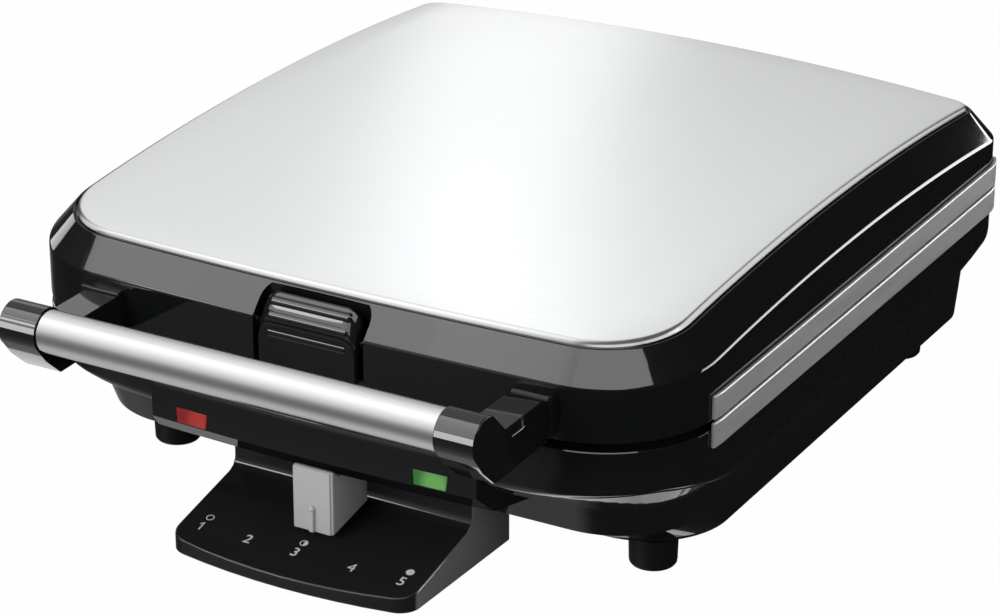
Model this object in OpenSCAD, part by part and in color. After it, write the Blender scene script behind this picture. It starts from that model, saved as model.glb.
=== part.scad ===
// Four-slice waffle maker: a hinged lid over a base, each with a cast waffle plate,
// a tube handle and latch on the lid, and a sliding browning control under the handle.
// +Z is up, the handle faces -Y, and the origin is under the middle of the whole object.

/* [Body] */
// Width of the body over the side walls
body_w = 265; // [258:1:275]
// Distance from the plates' middle to the front corners' face
front_d = 147.8; // [147:0.2:149]
// Distance from the plates' middle to the rear corners' face
rear_d = 146.8; // [146:0.2:148]
// Plan radius of the two front corners
front_r = 43.4; // [42:0.2:46]
// Plan radius of the two rear corners
rear_r = 19.6; // [19:0.2:24]
// How far the front bows out at its middle
front_bow = 4.7; // [4:0.1:5]
// How far the rear bows out at its middle
rear_bow = 7.3; // [6:0.1:7.5]
// Thickness of the moulded walls
wall = 3; // [2.5:0.5:3.5]

/* [Base] */
// Height of the feet, up to the flat bottom of the base
foot_h = 12; // [10:1:14]
// Radius of each foot where it meets the table
foot_r = 8.6; // [8:0.2:10]
// Height of the base's underside around the tub
ledge_z = 36; // [34:1:36]
// Height where the side walls' flat band starts, above the lower chamfer
band_z = 43; // [42:0.5:44]
// Height of the base's top rim
base_top = 68; // [67.5:0.5:68.5]
// How far the lower chamfer runs in
chamfer_in = 10.5; // [9:0.5:11]
// Half width of the tub at its bottom
tub_w = 119.5; // [118:0.5:120]
// Distance from the plates' middle to the tub's front face
tub_front = 100.4; // [100:0.2:101]
// Distance from the plates' middle to the top of the tub's sloping front
tub_brow = 126.6; // [124:0.2:128]
// Distance from the plates' middle to the tub's rear face
tub_rear = 144; // [142:1:144]

/* [Lid] */
// Height of the lid's lower rim
lid_bottom = 71; // [70.9:0.1:71.2]
// Height of the shoulder over the lid's side walls
shoulder_z = 101.2; // [100:0.2:102]
// Height of the crowned top at its middle
top_z = 111.9; // [110:0.1:113]
// Inset of the sloped band between the shoulder and the steel panel
band_in = 9.6; // [9:0.2:10]
// Plan radius of the steel panel's front corners
panel_r = 33; // [30:0.2:36]
// Fall of the crown from the middle to the front and the rear
arch_y = 6; // [3:0.1:7]
// Fall of the crown from the middle to each side
arch_x = 3; // [2:0.1:4]

/* [Waffle plates] */
// Outer size of each square plate
plate_w = 230; // [226:1:230]
// Width of the plate's rim and of the cross between the wells
rim_w = 8; // [6:1:9]
// Depth of each well below the rim
well_d = 11.8; // [10:0.1:11.8]
// Pegs along each side of a well
pegs = 4; // [3:1:5]
// Width of a peg at its foot
peg_w = 16.5; // [12:0.5:17]
// Height of a peg
peg_h = 8.5; // [7:0.5:8.5]

/* [Handle] */
// Radius of the handle tube
tube_r = 8; // [7:0.5:8]
// Half of the tube's bare length
tube_half = 78.3; // [76:0.1:80]
// Radius of the end caps
cap_r = 8.8; // [8.6:0.1:9.6]
// Outer face of each arm, from the middle
arm_out = 93.5; // [93:0.5:96]
// Distance of the tube's axis in front of the plates' middle
handle_y = -193; // [-196:1:-190]
// Height of the tube's axis
handle_z = 90; // [88:1:91]

/* [Controls] */
// How far the lamp housing stands out from the base
housing_out = 6.5; // [6:0.5:8]
// Half width of the lamp housing
housing_half = 65; // [62:1:68]
// Half width of the scale pad and its stem
pad_half = 49.4; // [49:0.1:52]
// Half width of the sliding knob
knob_half = 8.25; // [7:0.25:8.5]
// Tooth size of the rack and pinion
gear_m = 2; // [2:1:2]
// Teeth on the pinion
gear_n = 16; // [16:1:16]

/* [Hinge] */
// Distance of the hinge pins behind the plates' middle
hinge_y = 158.5; // [158:0.5:161]
// Height of the hinge pins
hinge_z = 71; // [70.5:0.5:71.5]
// Distance of each hinge from the middle
hinge_x = 68; // [60:1:74]
// Radius of the knuckles
knuckle_r = 5.5; // [5:0.5:5.5]
// Radius of the hinge pins
pin_r = 2; // [1.5:0.5:2]

/* [Hidden] */

$fn = 48;
e = 0.02;
half_w = body_w / 2;
crown_y = -1.5;
plate_y = 2;
shift_y = -((handle_y - cap_r) + (hinge_y + knuckle_r)) / 2;
corner_n = 9;
bow_n = 8;
side_n = 12;

// Radius and centre of the arc that the lamp housing's front follows
front_arc_r = 1083;
front_arc_y = front_arc_r - 147.5;

// Strip of the side trims: how far it wraps round each corner, and its two heights
trim_front = -109.5;
trim_rear = rear_d - rear_r + 11;
trim_out = 1.6;

// Browning control
pad_tilt = 0.2135;
pad_front_z = 9.3;
slider_y = -151.5;
rack_y = -103.5;
gear_r = gear_m * gear_n / 2;
gear_y = rack_y + gear_r + 0.1;
gear_z = 40.2;
gear_t = 4;
tooth = PI * gear_m;

// Screw places
cover_screws = [[-112.5, -50], [112.5, -50], [-112.5, 92], [112.5, 92]];
feet = [[-100.5, -88], [100.5, -88], [-103.5, 116], [103.5, 116]];
arm_screw_x = 87;
arm_screw_z = 79;
boss_y = -152.3;

// Latch pivot
latch_y = -146;
latch_z = 88;

// Colours
black = [0.07, 0.075, 0.075];
steel = [0.86, 0.87, 0.88];
trim = [0.55, 0.56, 0.57];
cast = [0.2, 0.2, 0.21];
satin = [0.75, 0.76, 0.78];

// ---- Outlines and lofts ----

function arc(cx, cy, r, a0, a1, n) =
  [for (i = [0:n]) let (a = a0 + (a1 - a0) * i / n) [cx + r * cos(a), cy + r * sin(a)]];

function side(x, y0, y1, n) = [for (i = [1:n - 1]) [x, y0 + (y1 - y0) * i / n]];

// Rounded rectangle with bowed front and rear, run anticlockwise from the front right corner.
// w is the half width, f and b the front and rear distances, ins an even inset.
function plan(w, f, b, rf, rb, bf, bb, ins) =
  let (cf = w - rf, cb = w - rb, af = 2 * atan(bf / cf), ab = 2 * atan(bb / cb))
  let (kf = cf / sin(af), kb = cb / sin(ab), yf = -f + rf, yb = b - rb)
  concat(
    arc(cf, yf, rf - ins, -90 + af, 0, corner_n),
    side(w - ins, yf, yb, side_n),
    arc(cb, yb, rb - ins, 0, 90 - ab, corner_n),
    [for (i = [1:bow_n - 1]) let (a = 90 - ab + 2 * ab * i / bow_n, r = kb + rb - ins)
      [r * cos(a), yb - kb * cos(ab) + r * sin(a)]],
    arc(-cb, yb, rb - ins, 90 + ab, 180, corner_n),
    side(-w + ins, yb, yf, side_n),
    arc(-cf, yf, rf - ins, 180, 270 - af, corner_n),
    [for (i = [1:bow_n - 1]) let (a = 270 - af + 2 * af * i / bow_n, r = kf + rf - ins)
      [r * cos(a), yf + kf * cos(af) + r * sin(a)]]);

function body_plan(ins) = plan(half_w, front_d, rear_d, front_r, rear_r, front_bow, rear_bow, ins);
function panel_plan(ins) =
  plan(half_w - band_in, front_d - band_in, rear_d - band_in, panel_r, rear_r - band_in, front_bow,
    rear_bow, ins);
function band_plan(r, ins) = plan(half_w, front_d, rear_d, r, rear_r, front_bow, rear_bow, ins);
// Tub outline: grow widens it, f is how far its front reaches, r its front corner radius
function tub_plan(grow, f, r, ins) =
  plan(tub_w + grow, f, tub_rear + grow * 0.5, r, 14, 0.5, rear_bow - 2, ins);
function tub_foot(ins) = tub_plan(0, tub_front, 31.7, ins);
function box_plan(w, f, b, r) = plan(w, f, b, r, r, 0.01, 0.01, 0);

// Heights of the crowned top and of the shoulder
function top_at(x, y) = top_z - arch_y * pow((y - crown_y) / 125, 2) - arch_x * pow(x / 125, 2);
function shoulder_at(x, y) =
  shoulder_z - arch_y * pow((y - crown_y) / 125, 2) - (arch_x + 0.9) * pow(x / 125, 2);

function flat_ring(pts, z) = [for (p = pts) [p[0], p[1], z]];
// The band's lower edge rises from the side walls to the front and to the rear
function front_part(y) = pow(min(1, max(0, (-y - 55) / 70)), 2);
function rear_part(y) = pow(min(1, max(0, (y - 80) / 56)), 2);
function band_ring(pts, drop) =
  [for (p = pts) [p[0], p[1], band_z + 5.3 * front_part(p[1]) + 8 * rear_part(p[1]) + drop]];
function ledge_ring(pts, drop) = [for (p = pts) [p[0], p[1], ledge_z + 7 * rear_part(p[1]) + drop]];
function shoulder_ring(pts, drop) = [for (p = pts) [p[0], p[1], shoulder_at(p[0], p[1]) - drop]];
function crown_ring(pts, t, drop) =
  [for (p = pts) let (x = p[0] * t, y = crown_y + (p[1] - crown_y) * t) [x, y, top_at(x, y) - drop]];

function mean(ring) = [for (k = [0:2]) ring_sum(ring, k, len(ring) - 1) / len(ring)];
function ring_sum(ring, k, i) = i < 0 ? 0 : ring[i][k] + ring_sum(ring, k, i - 1);

// Solid through a stack of rings of equal length, lowest first, closed by a fan at each end
module loft(rings) {
  n = len(rings[0]);
  m = len(rings);
  pts = concat([for (r = rings) for (p = r) p], [mean(rings[0]), mean(rings[m - 1])]);
  low = n * m;
  high = low + 1;
  sides = [for (k = [0:m - 2]) for (i = [0:n - 1])
    let (a = k * n + i, b = k * n + (i + 1) % n, c = b + n, d = a + n) each [[a, c, b], [a, d, c]]];
  floor_fan = [for (i = [0:n - 1]) [low, i, (i + 1) % n]];
  roof_fan = [for (i = [0:n - 1]) [high, (m - 1) * n + (i + 1) % n, (m - 1) * n + i]];
  polyhedron(points = pts, faces = concat(sides, floor_fan, roof_fan), convexity = 6);
}

module at_origin() {
  translate([0, shift_y, 0]) children();
}

// Profile drawn in Y and Z, extruded along X from x0 to x1
module along_x(x0, x1) {
  translate([x0, 0, 0]) rotate([90, 0, 90]) linear_extrude(x1 - x0) children();
}

module rod_x(x0, x1, y, z, r) {
  translate([x0, y, z]) rotate([0, 90, 0]) cylinder(h = x1 - x0, r = r);
}

module rod_y(y0, y1, x, z, r) {
  translate([x, y0, z]) rotate([-90, 0, 0]) cylinder(h = y1 - y0, r = r);
}

module prism(pts, z0, z1) {
  translate([0, 0, z0]) linear_extrude(z1 - z0) polygon(pts);
}

// Ring of profile (outward distance, height) that follows the bowed front, a degrees each way
module front_sweep(a, pts) {
  translate([0, front_arc_y, 0])
    rotate([0, 0, -90 - a])
      rotate_extrude(angle = 2 * a, $fn = 1440)
        polygon([for (p = pts) [front_arc_r + p[0], p[1]]]);
}

function front_angle(x) = asin(x / front_arc_r);

// ---- Base ----

module base_outer() {
  loft([
    flat_ring(tub_foot(0), foot_h),
    flat_ring(tub_plan(1, tub_brow - 4.6, 34.6, 0), foot_h + 12),
    ledge_ring(tub_plan(half_w - chamfer_in - tub_w, tub_brow, 35, 0), 0),
    band_ring(band_plan(59, 0.3), 0),
    band_ring(band_plan(50, 0), 2.2),
    flat_ring(body_plan(0), 61),
    flat_ring(body_plan(0), base_top)]);
}

module base_inner() {
  loft([
    flat_ring(tub_foot(wall), foot_h - 1),
    flat_ring(tub_plan(1, tub_brow - 4.6, 34.6, wall + 2), foot_h + 13),
    ledge_ring(tub_plan(half_w - chamfer_in - tub_w, tub_brow, 35, wall), 2),
    band_ring(band_plan(59, wall + 0.3), 1.5),
    band_ring(band_plan(50, wall), 3.7),
    flat_ring(body_plan(wall), 62),
    flat_ring(body_plan(wall), base_top + 1)]);
}

// Moulded base with its tub, screw bosses, latch slot, control window and cord hole
module base_shell() {
  color(black) at_origin() difference() {
    union() {
      difference() {
        base_outer();
        base_inner();
      }
      for (p = cover_screws) {
        translate([p[0], p[1], foot_h + 2.8]) cylinder(h = 16, r = 5);
      }
    }
    for (p = cover_screws) {
      translate([p[0], p[1], foot_h]) cylinder(h = 14, r = 1.6);
    }
    translate([-13, -154, 62.2]) cube([26, 8, 3.8]);
    for (sx = [-1, 1]) {
      translate([sx * lens_x - 8, -158, 42]) cube([16, 18, 9.5]);
    }
    translate([-pad_half - 0.15, -140, foot_h - 1]) cube([2 * pad_half + 0.3, 40.7, ledge_z - foot_h + 1]);
    rod_y(tub_rear, tub_rear + 20, 0, 24, 6.1);
  }
}

module bottom_cover() {
  color(black) at_origin() difference() {
    prism(tub_foot(wall + 0.8), foot_h, foot_h + 2.5);
    for (p = cover_screws) {
      translate([p[0], p[1], foot_h - 1]) cylinder(h = 5, r = 1.8);
    }
    for (p = feet) {
      translate([p[0], p[1], foot_h - 1]) cylinder(h = 5, r = 4.1);
    }
    for (i = [-4:4]) {
      translate([i * 14 - 3, 20, foot_h - 1]) cube([6, 60, 5]);
    }
  }
}

module bottom_screw(i) {
  color(satin) at_origin() translate([cover_screws[i][0], cover_screws[i][1], 0]) {
    translate([0, 0, foot_h - 0.8]) cylinder(h = 12.8, r = 1.5);
    difference() {
      translate([0, 0, foot_h - 1.8]) cylinder(h = 1.8 - e, r = 3.2);
      translate([-2.2, -0.4, foot_h - 2.5]) cube([4.4, 0.8, 1.5]);
      translate([-0.4, -2.2, foot_h - 2.5]) cube([0.8, 4.4, 1.5]);
    }
  }
}

module foot(i) {
  color(black) at_origin() translate([feet[i][0], feet[i][1], 0]) {
    cylinder(h = foot_h - e, r1 = foot_r, r2 = foot_r + 0.3);
    translate([0, 0, foot_h - 1]) cylinder(h = 3.4, r = 4);
  }
}

module deck(z0, z1) {
  difference() {
    prism(body_plan(wall + 0.3), z0, z1);
    translate([0, plate_y, 0])
      prism(box_plan(plate_w / 2 + 0.4, plate_w / 2 + 0.4, plate_w / 2 + 0.4, 10.4), z0 - 1, z1 + 1);
  }
}

module base_deck() {
  color(cast) at_origin() deck(65, 67.2);
}

// Half width of one well, and the distance of its middle from the plate's middle
well_w = (plate_w - 3 * rim_w) / 2;
well_c = (well_w + rim_w) / 2;
peg_step = well_w / pegs;

// One cast plate, rim at z = 0 and wells below it
module waffle_plate() {
  difference() {
    prism(box_plan(plate_w / 2, plate_w / 2, plate_w / 2, 10), -well_d - 4, 0);
    for (x = [-well_c, well_c], y = [-well_c, well_c]) {
      translate([x, y, 0]) prism(box_plan(well_w / 2, well_w / 2, well_w / 2, 5), -well_d, 1);
    }
  }
  for (x = [-well_c, well_c], y = [-well_c, well_c]) {
    for (i = [0:pegs - 1], j = [0:pegs - 1]) {
      translate([x + (i - (pegs - 1) / 2) * peg_step, y + (j - (pegs - 1) / 2) * peg_step, -well_d - 0.5])
        linear_extrude(peg_h + 0.5, scale = 0.76) square(peg_w, center = true);
    }
  }
}

module lower_plate() {
  color(cast) at_origin() translate([0, plate_y, 70.8]) waffle_plate();
}

// Sheathed heating rod: a rounded loop open at the rear, with two cold pins
module element(z, pin_dir) {
  s = 80;
  r = 20;
  rod = 3.2;
  translate([0, plate_y, z]) {
    for (sx = [-1, 1]) {
      translate([sx * s, -s + r, 0]) rotate([-90, 0, 0]) cylinder(h = 2 * s - 2 * r, r = rod);
      translate([sx * (s - r), s, 0]) rotate([0, -sx * 90, 0]) cylinder(h = s - r - 15, r = rod);
      translate([sx * 15, s, pin_dir > 0 ? 0 : -11]) cylinder(h = 11, r = 2);
      translate([sx * 15, s, 0]) sphere(r = rod);
    }
    translate([-s + r, -s, 0]) rotate([0, 90, 0]) cylinder(h = 2 * s - 2 * r, r = rod);
    for (a = [0:3]) {
      q = [[1, 1], [-1, 1], [-1, -1], [1, -1]][a];
      translate([q[0] * (s - r), q[1] * (s - r), 0])
        rotate([0, 0, a * 90]) rotate_extrude(angle = 90) translate([r, 0]) circle(r = rod);
    }
  }
}

module lower_element() {
  color(trim) at_origin() element(51.5, -1);
}

// Sheet tray with a turned rim; flip is 1 for the base and -1 for the lid
module reflector(z, flip) {
  h = 112;
  translate([0, plate_y, z]) difference() {
    translate([0, 0, flip > 0 ? 0 : -8.4]) prism(box_plan(h, h, h, 12), 0, 8.4);
    translate([0, 0, flip > 0 ? 1 : -9.4]) prism(box_plan(h - 1, h - 1, h - 1, 11), 0, 8.4);
    for (sx = [-1, 1]) {
      translate([sx * 15, 80, -2]) cylinder(h = 4, r = 3);
    }
  }
}

module lower_reflector() {
  color(satin) at_origin() reflector(45.6, 1);
}

module trim_strip(s, z0, z1) {
  x0 = s > 0 ? 0 : -half_w - 5;
  intersection() {
    difference() {
      prism(body_plan(-trim_out), z0, z1);
      prism(body_plan(-e), z0 - 1, z1 + 1);
    }
    translate([x0, trim_front, z0 - 2]) cube([half_w + 5, trim_rear - trim_front, z1 - z0 + 4]);
  }
}

module base_trim(s) {
  color(trim) at_origin() trim_strip(s, 61.2, 70.6);
}

// ---- Hinge ----

module knuckle_profile(up) {
  translate([hinge_y, hinge_z]) circle(r = knuckle_r);
  polygon(up > 0
    ? [[hinge_y + knuckle_r - 0.6, hinge_z + 2.3], [hinge_y, hinge_z], [hinge_y - 3.6, hinge_z + 4],
       [hinge_y - 14, hinge_z + 6], [hinge_y - 14, hinge_z + 20], [hinge_y - 6, hinge_z + 20]]
    : [[hinge_y + knuckle_r - 0.6, hinge_z - 2.3], [hinge_y, hinge_z], [hinge_y - 3.6, hinge_z - 4],
       [hinge_y - 14, hinge_z - 5], [hinge_y - 14, hinge_z - 16], [hinge_y - 3, hinge_z - 16]]);
}

module hinge_bracket(s) {
  color(black) at_origin() difference() {
    union() {
      along_x(s * hinge_x + 6.1, s * hinge_x + 10) knuckle_profile(-1);
      along_x(s * hinge_x - 10, s * hinge_x - 6.1) knuckle_profile(-1);
      translate([s * hinge_x - 10, hinge_y - 14, hinge_z - 16]) cube([20, 10.4, 9]);
    }
    prism(body_plan(-e), 40, 90);
    rod_x(s * hinge_x - 12, s * hinge_x + 12, hinge_y, hinge_z, pin_r + 0.03);
  }
}

module hinge_pin(s) {
  color(satin) at_origin() {
    rod_x(s * hinge_x - 11.6, s * hinge_x + 11.6, hinge_y, hinge_z, pin_r);
    rod_x(s * hinge_x - 11.6, s * hinge_x - 10.1, hinge_y, hinge_z, pin_r + 1.2);
    rod_x(s * hinge_x + 10.1, s * hinge_x + 11.6, hinge_y, hinge_z, pin_r + 1.2);
  }
}

module lid_lug(s) {
  color(black) at_origin() difference() {
    union() {
      along_x(s * hinge_x - 5.7, s * hinge_x + 5.7) knuckle_profile(1);
      translate([s * hinge_x - 5.7, hinge_y - 14, hinge_z + 7]) cube([11.4, 6.4, 13]);
    }
    prism(body_plan(-e), 60, 100);
    rod_x(s * hinge_x - 12, s * hinge_x + 12, hinge_y, hinge_z, pin_r + 0.05);
  }
}

// ---- Lid ----

module lid_outer() {
  o = body_plan(0);
  p = panel_plan(0.1);
  loft([
    flat_ring(o, lid_bottom),
    shoulder_ring(o, 0),
    crown_ring(panel_plan(0), 1, 1.4),
    crown_ring(p, 1, 2.4),
    crown_ring(p, 0.75, 2.4),
    crown_ring(p, 0.5, 2.4),
    crown_ring(p, 0.25, 2.4)]);
}

module lid_inner() {
  p = panel_plan(wall - 1);
  loft([
    flat_ring(body_plan(wall), lid_bottom - 1),
    shoulder_ring(body_plan(wall), 2.4),
    crown_ring(p, 1, 5.2),
    crown_ring(p, 0.6, 5.2),
    crown_ring(p, 0.25, 5.2)]);
}

// Notch for the latch, drawn in X and Z with rounded upper corners
module latch_notch() {
  translate([0, -143.4, 0]) rotate([90, 0, 0]) linear_extrude(20) union() {
    translate([-22.2, lid_bottom - 2]) square([44.4, 28]);
    translate([-16.2, lid_bottom - 2]) square([32.4, 34]);
    for (sx = [-1, 1]) {
      translate([sx * 16.2, lid_bottom + 26]) circle(r = 6);
    }
  }
}

module lid_shell() {
  color(black) at_origin() difference() {
    union() {
      difference() {
        lid_outer();
        lid_inner();
      }
      for (sx = [-1, 1]) {
        translate([sx * 86.3 - 8.1, boss_y, 73]) cube([16.2, 7, 15]);
      }
    }
    latch_notch();
    for (sx = [-1, 1]) {
      rod_y(boss_y - 1, -137, sx * arm_screw_x, arm_screw_z, 2.3);
    }
  }
}

module lid_panel() {
  p = panel_plan(1.2);
  color(steel) at_origin() loft([
    crown_ring(p, 0.25, 2.15),
    crown_ring(p, 0.5, 2.15),
    crown_ring(p, 0.75, 2.15),
    crown_ring(p, 1, 2.15),
    crown_ring(p, 1, 0.5),
    crown_ring(panel_plan(1.8), 1, 0),
    crown_ring(p, 0.8, 0),
    crown_ring(p, 0.6, 0),
    crown_ring(p, 0.4, 0),
    crown_ring(p, 0.2, 0)]);
}

module lid_deck() {
  color(cast) at_origin() deck(73.8, 76);
}

module lid_trim(s) {
  color(trim) at_origin() trim_strip(s, 71.8, 80.7);
}

module upper_plate() {
  color(cast) at_origin() translate([0, plate_y, 71.2]) mirror([0, 0, 1]) waffle_plate();
}

module upper_element() {
  color(trim) at_origin() element(90.5, 1);
}

module upper_reflector() {
  color(satin) at_origin() reflector(96.4, -1);
}

// ---- Latch ----

module latch() {
  color(black) at_origin() difference() {
    union() {
      along_x(-19.4, 19.4) polygon([
        [-153.4, 76], [-153.4, 98], [-152.8, 100.2], [-151.6, 101.3], [-150.2, 101.6], [-150.2, 77],
        [-152.9, 69.4], [-152.9, 65.6], [-151, 65.6], [-151, 64], [-152, 63], [-156, 63], [-156, 66.5]]);
      rod_x(-17, 17, latch_y, latch_z, 3.5);
      along_x(-17, 17) polygon([[-151, 91], [-146, 91.4], [-146, 84.6], [-151, 84]]);
      for (z = [98, 92.2, 86]) {
        along_x(-16.8, 16.8) polygon([[-153, z - 1], [-154.1, z - 0.3], [-154.1, z + 0.3], [-153, z + 1]]);
      }
    }
    rod_x(-30, 30, latch_y, latch_z, 1.55);
    translate([-30, -170, 60]) cube([18, 40, 7.1]);
    translate([12, -170, 60]) cube([18, 40, 7.1]);
  }
}

module latch_pin() {
  color(satin) at_origin() rod_x(-25, 25, latch_y, latch_z, 1.5);
}

// Cradle behind the notch that carries the latch pin
module latch_bracket() {
  color(black) at_origin() difference() {
    union() {
      for (sx = [-1, 1]) {
        translate([sx * 24 - 1.4, latch_y, 80]) cube([2.8, 9, 14]);
        translate([sx * 24 - 1.4, latch_y, latch_z]) rotate([0, 90, 0]) cylinder(h = 2.8, r = 2.6);
      }
      translate([-25.4, -138.8, 76.3]) cube([50.8, 2, 17.7]);
    }
    rod_x(-30, 30, latch_y, latch_z, 1.53);
  }
}

// ---- Handle ----

module handle_tube() {
  color(satin) at_origin() difference() {
    rod_x(-tube_half - 9, tube_half + 9, handle_y, handle_z, tube_r);
    rod_x(-tube_half - 10, tube_half + 10, handle_y, handle_z, tube_r - 1.2);
  }
}

module arm_profile() {
  translate([handle_y, handle_z]) circle(r = cap_r);
  polygon([
    [handle_y + cap_r * cos(208), handle_z + cap_r * sin(208)], [handle_y + 5.8, 72.1],
    [boss_y - e, 72.6], [boss_y - e, 85], [handle_y + 7, 85], [handle_y, handle_z]]);
}

module handle_arm(s) {
  x0 = s > 0 ? tube_half : -arm_out;
  color(black) at_origin() difference() {
    along_x(x0, x0 + arm_out - tube_half) arm_profile();
    rod_x(s > 0 ? tube_half - 1 : -tube_half - 9.4, s > 0 ? tube_half + 9.4 : -tube_half + 1,
      handle_y, handle_z, tube_r + 0.03);
    rod_y(-169, boss_y + 1, s * arm_screw_x, arm_screw_z, 2.1);
  }
}

module handle_screw(s) {
  color(satin) at_origin() {
    rod_y(-168, -144.8, s * arm_screw_x, arm_screw_z, 2);
    rod_y(-144.9, -142.4, s * arm_screw_x, arm_screw_z, 2.9);
  }
}

// ---- Controls ----

lens_x = 48.5;

module lens_outline(grow) {
  polygon([
    [-6.3 - grow, 44.4 - grow], [5.9 + grow, 44.4 - grow], [6.7 + grow, 50 + grow], [-6.7 - grow, 50 + grow]]);
}

module lens_block(s, y0, y1, grow) {
  translate([s * lens_x, y1, 0]) rotate([90, 0, 0]) linear_extrude(y1 - y0) lens_outline(grow);
}

module control_housing() {
  o = housing_out;
  color(black) at_origin() difference() {
    front_sweep(front_angle(housing_half + 12), [
      [3, 59.4], [o - 1.2, 58.2], [o - 0.4, 57], [o, 55.4], [o, 43.9], [-0.5, 36.9], [-15, 36.9],
      [5.4, 47.9], [4, 48]]);
    prism(body_plan(-0.1), 47.9, 62);
    for (sx = [-1, 1]) {
      lens_block(sx, -160, -130, 0.1);
    }
    for (sx = [-1, 1]) {
      translate([sx * (housing_half + 0.4), -153.5, 30]) rotate([0, 0, -sx * 21])
        translate([sx > 0 ? 0 : -25, -10, 0]) cube([25, 40, 40]);
    }
  }
}

// Lens and its bezel lip, let into the housing front
module lens(s) {
  intersection() {
    lens_block(s, -160, -147, 0);
    front_sweep(4, [[housing_out - 2.2, 40], [housing_out + 0.3, 40], [housing_out + 0.3, 54],
      [housing_out - 2.2, 54]]);
  }
}

module lamp(s) {
  rod_x(s * lens_x - 5, s * lens_x + 5, -147.6, 47.4, 1.4);
}

// Plan of the scale pad: a strip with a bowed front edge
function pad_plan() = plan(pad_half, 170, -99.5, 8, 1, 4, 0.01, 0);

function pad_top(y) = pad_front_z + (y + 165) * pad_tilt;

module control_pad() {
  color(black) at_origin() difference() {
    intersection() {
      prism(pad_plan(), 0, ledge_z - 0.1);
      along_x(-pad_half - 1, pad_half + 1) polygon([
        [-180, 2.9], [-180, pad_top(-180)], [-129.5, pad_top(-129.5)], [-127.4, pad_top(-127.4) + 0.8],
        [-126.2, pad_top(-126) + 2.4], [-126, pad_top(-126) + 4], [-126, 40], [-90, 40], [-90, 0.2]]);
    }
    translate([-pad_half + wall, -126 + wall, 15]) cube([2 * pad_half - 2 * wall, 30, 40]);
    translate([-pad_half + wall, -130, 31]) cube([2 * pad_half - 2 * wall, 10, 6]);
  }
}

module slider_knob() {
  color(satin) at_origin() union() {
    along_x(-knob_half, knob_half) polygon([
      [slider_y, 14.6], [slider_y, 38.4], [slider_y + 0.8, 39], [-147.9, 36.3], [-128.6, 36.3],
      [-128.6, 18.6]]);
    along_x(-0.9, 0.9) polygon([
      [slider_y - 0.8, 14.8], [slider_y - 0.8, 23.2], [slider_y + 1, 24.4], [slider_y + 1, 14.8]]);
    translate([-3, -129, 31.6]) cube([6, 7.6, 4]);
  }
}

// Carriage behind the knob, with the rack that turns the thermostat
module slider_carriage() {
  n = 15;
  color(satin) at_origin() union() {
    translate([-3, -121.4, 31.6]) cube([6, 2.4, 12.6]);
    translate([-3, -119.2, gear_z]) cube([6, 8, gear_t]);
    translate([-n * tooth / 2, -112, gear_z]) cube([n * tooth, rack_y - 2.4 + 112, gear_t]);
    translate([0, rack_y, gear_z]) linear_extrude(gear_t) for (i = [-(n - 1) / 2:(n - 1) / 2]) {
      translate([i * tooth, 0]) polygon([
        [-2.2, -2.6], [2.2, -2.6], [0.75, 1.75], [-0.75, 1.75]]);
    }
  }
}

module thermostat() {
  color(satin) at_origin() translate([0, gear_y, 0]) difference() {
    union() {
      translate([-9, -9, foot_h + 2.6]) cube([18, 18, 9.4]);
      translate([0, 0, foot_h + 11]) cylinder(h = 16.4, r = 9);
    }
    translate([0, 0, 28]) cylinder(h = 14, r = 3.05);
  }
}

// Involute of the base circle rb at roll angle t, in degrees
function involute(rb, t) = let (q = t * PI / 180) [rb * (cos(t) + q * sin(t)), rb * (sin(t) - q * cos(t))];
function turn(p, a) = [p[0] * cos(a) - p[1] * sin(a), p[0] * sin(a) + p[1] * cos(a)];
function flip(p) = [p[0], -p[1]];
function roll_at(rb, r) = sqrt(pow(r / rb, 2) - 1) * 180 / PI;

module gear_outline() {
  rb = gear_r * cos(20);
  ro = gear_r + 1.8;
  rr = gear_r - 2.5;
  t_out = roll_at(rb, ro);
  t_pitch = roll_at(rb, gear_r);
  at_pitch = atan2(involute(rb, t_pitch)[1], involute(rb, t_pitch)[0]);
  half = 90 / gear_n - 0.75 + at_pitch;
  flank = [for (i = [0:5]) turn(involute(rb, t_out * i / 5), -half)];
  one = concat([turn([rr - 0.5, 0], -half - 1)], flank,
    [for (i = [5:-1:0]) flip(flank[i])], [turn([rr - 0.5, 0], half + 1)]);
  union() {
    circle(r = rr);
    for (i = [0:gear_n - 1]) {
      rotate(i * 360 / gear_n) polygon(one);
    }
  }
}

module thermostat_pinion() {
  color(satin) at_origin() translate([0, gear_y, 0]) union() {
    translate([0, 0, gear_z]) rotate(-90 + 180 / gear_n) linear_extrude(gear_t) gear_outline();
    translate([0, 0, 29]) cylinder(h = 12, r = 3);
  }
}

// ---- Wiring parts ----

module cord_gland() {
  y1 = tub_rear + rear_bow - 0.9;
  color(black) at_origin() difference() {
    union() {
      rod_y(y1 - 9, y1 + 1, 0, 24, 6);
      rod_y(y1, y1 + 3, 0, 24, 9);
      translate([0, y1 + 3 - e, 24]) rotate([-90, 0, 0]) cylinder(h = 4, r1 = 7, r2 = 5.6);
    }
    rod_y(y1 - 12, y1 + 12, 0, 24, 3.6);
  }
}

module terminal_block() {
  color([0.85, 0.84, 0.8]) at_origin() translate([-60, 104, foot_h + 2.6]) difference() {
    cube([34, 14, 11]);
    for (i = [0:2]) {
      translate([6 + i * 11, 7, 4]) cylinder(h = 9, r = 2.2);
    }
  }
}

module thermal_fuse() {
  color(satin) at_origin() union() {
    rod_x(36, 56, 104, foot_h + 7, 2.6);
    rod_x(30, 62, 104, foot_h + 7, 0.7);
    translate([43, 101, foot_h + 2.6]) cube([6, 6, 2.4]);
  }
}

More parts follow.
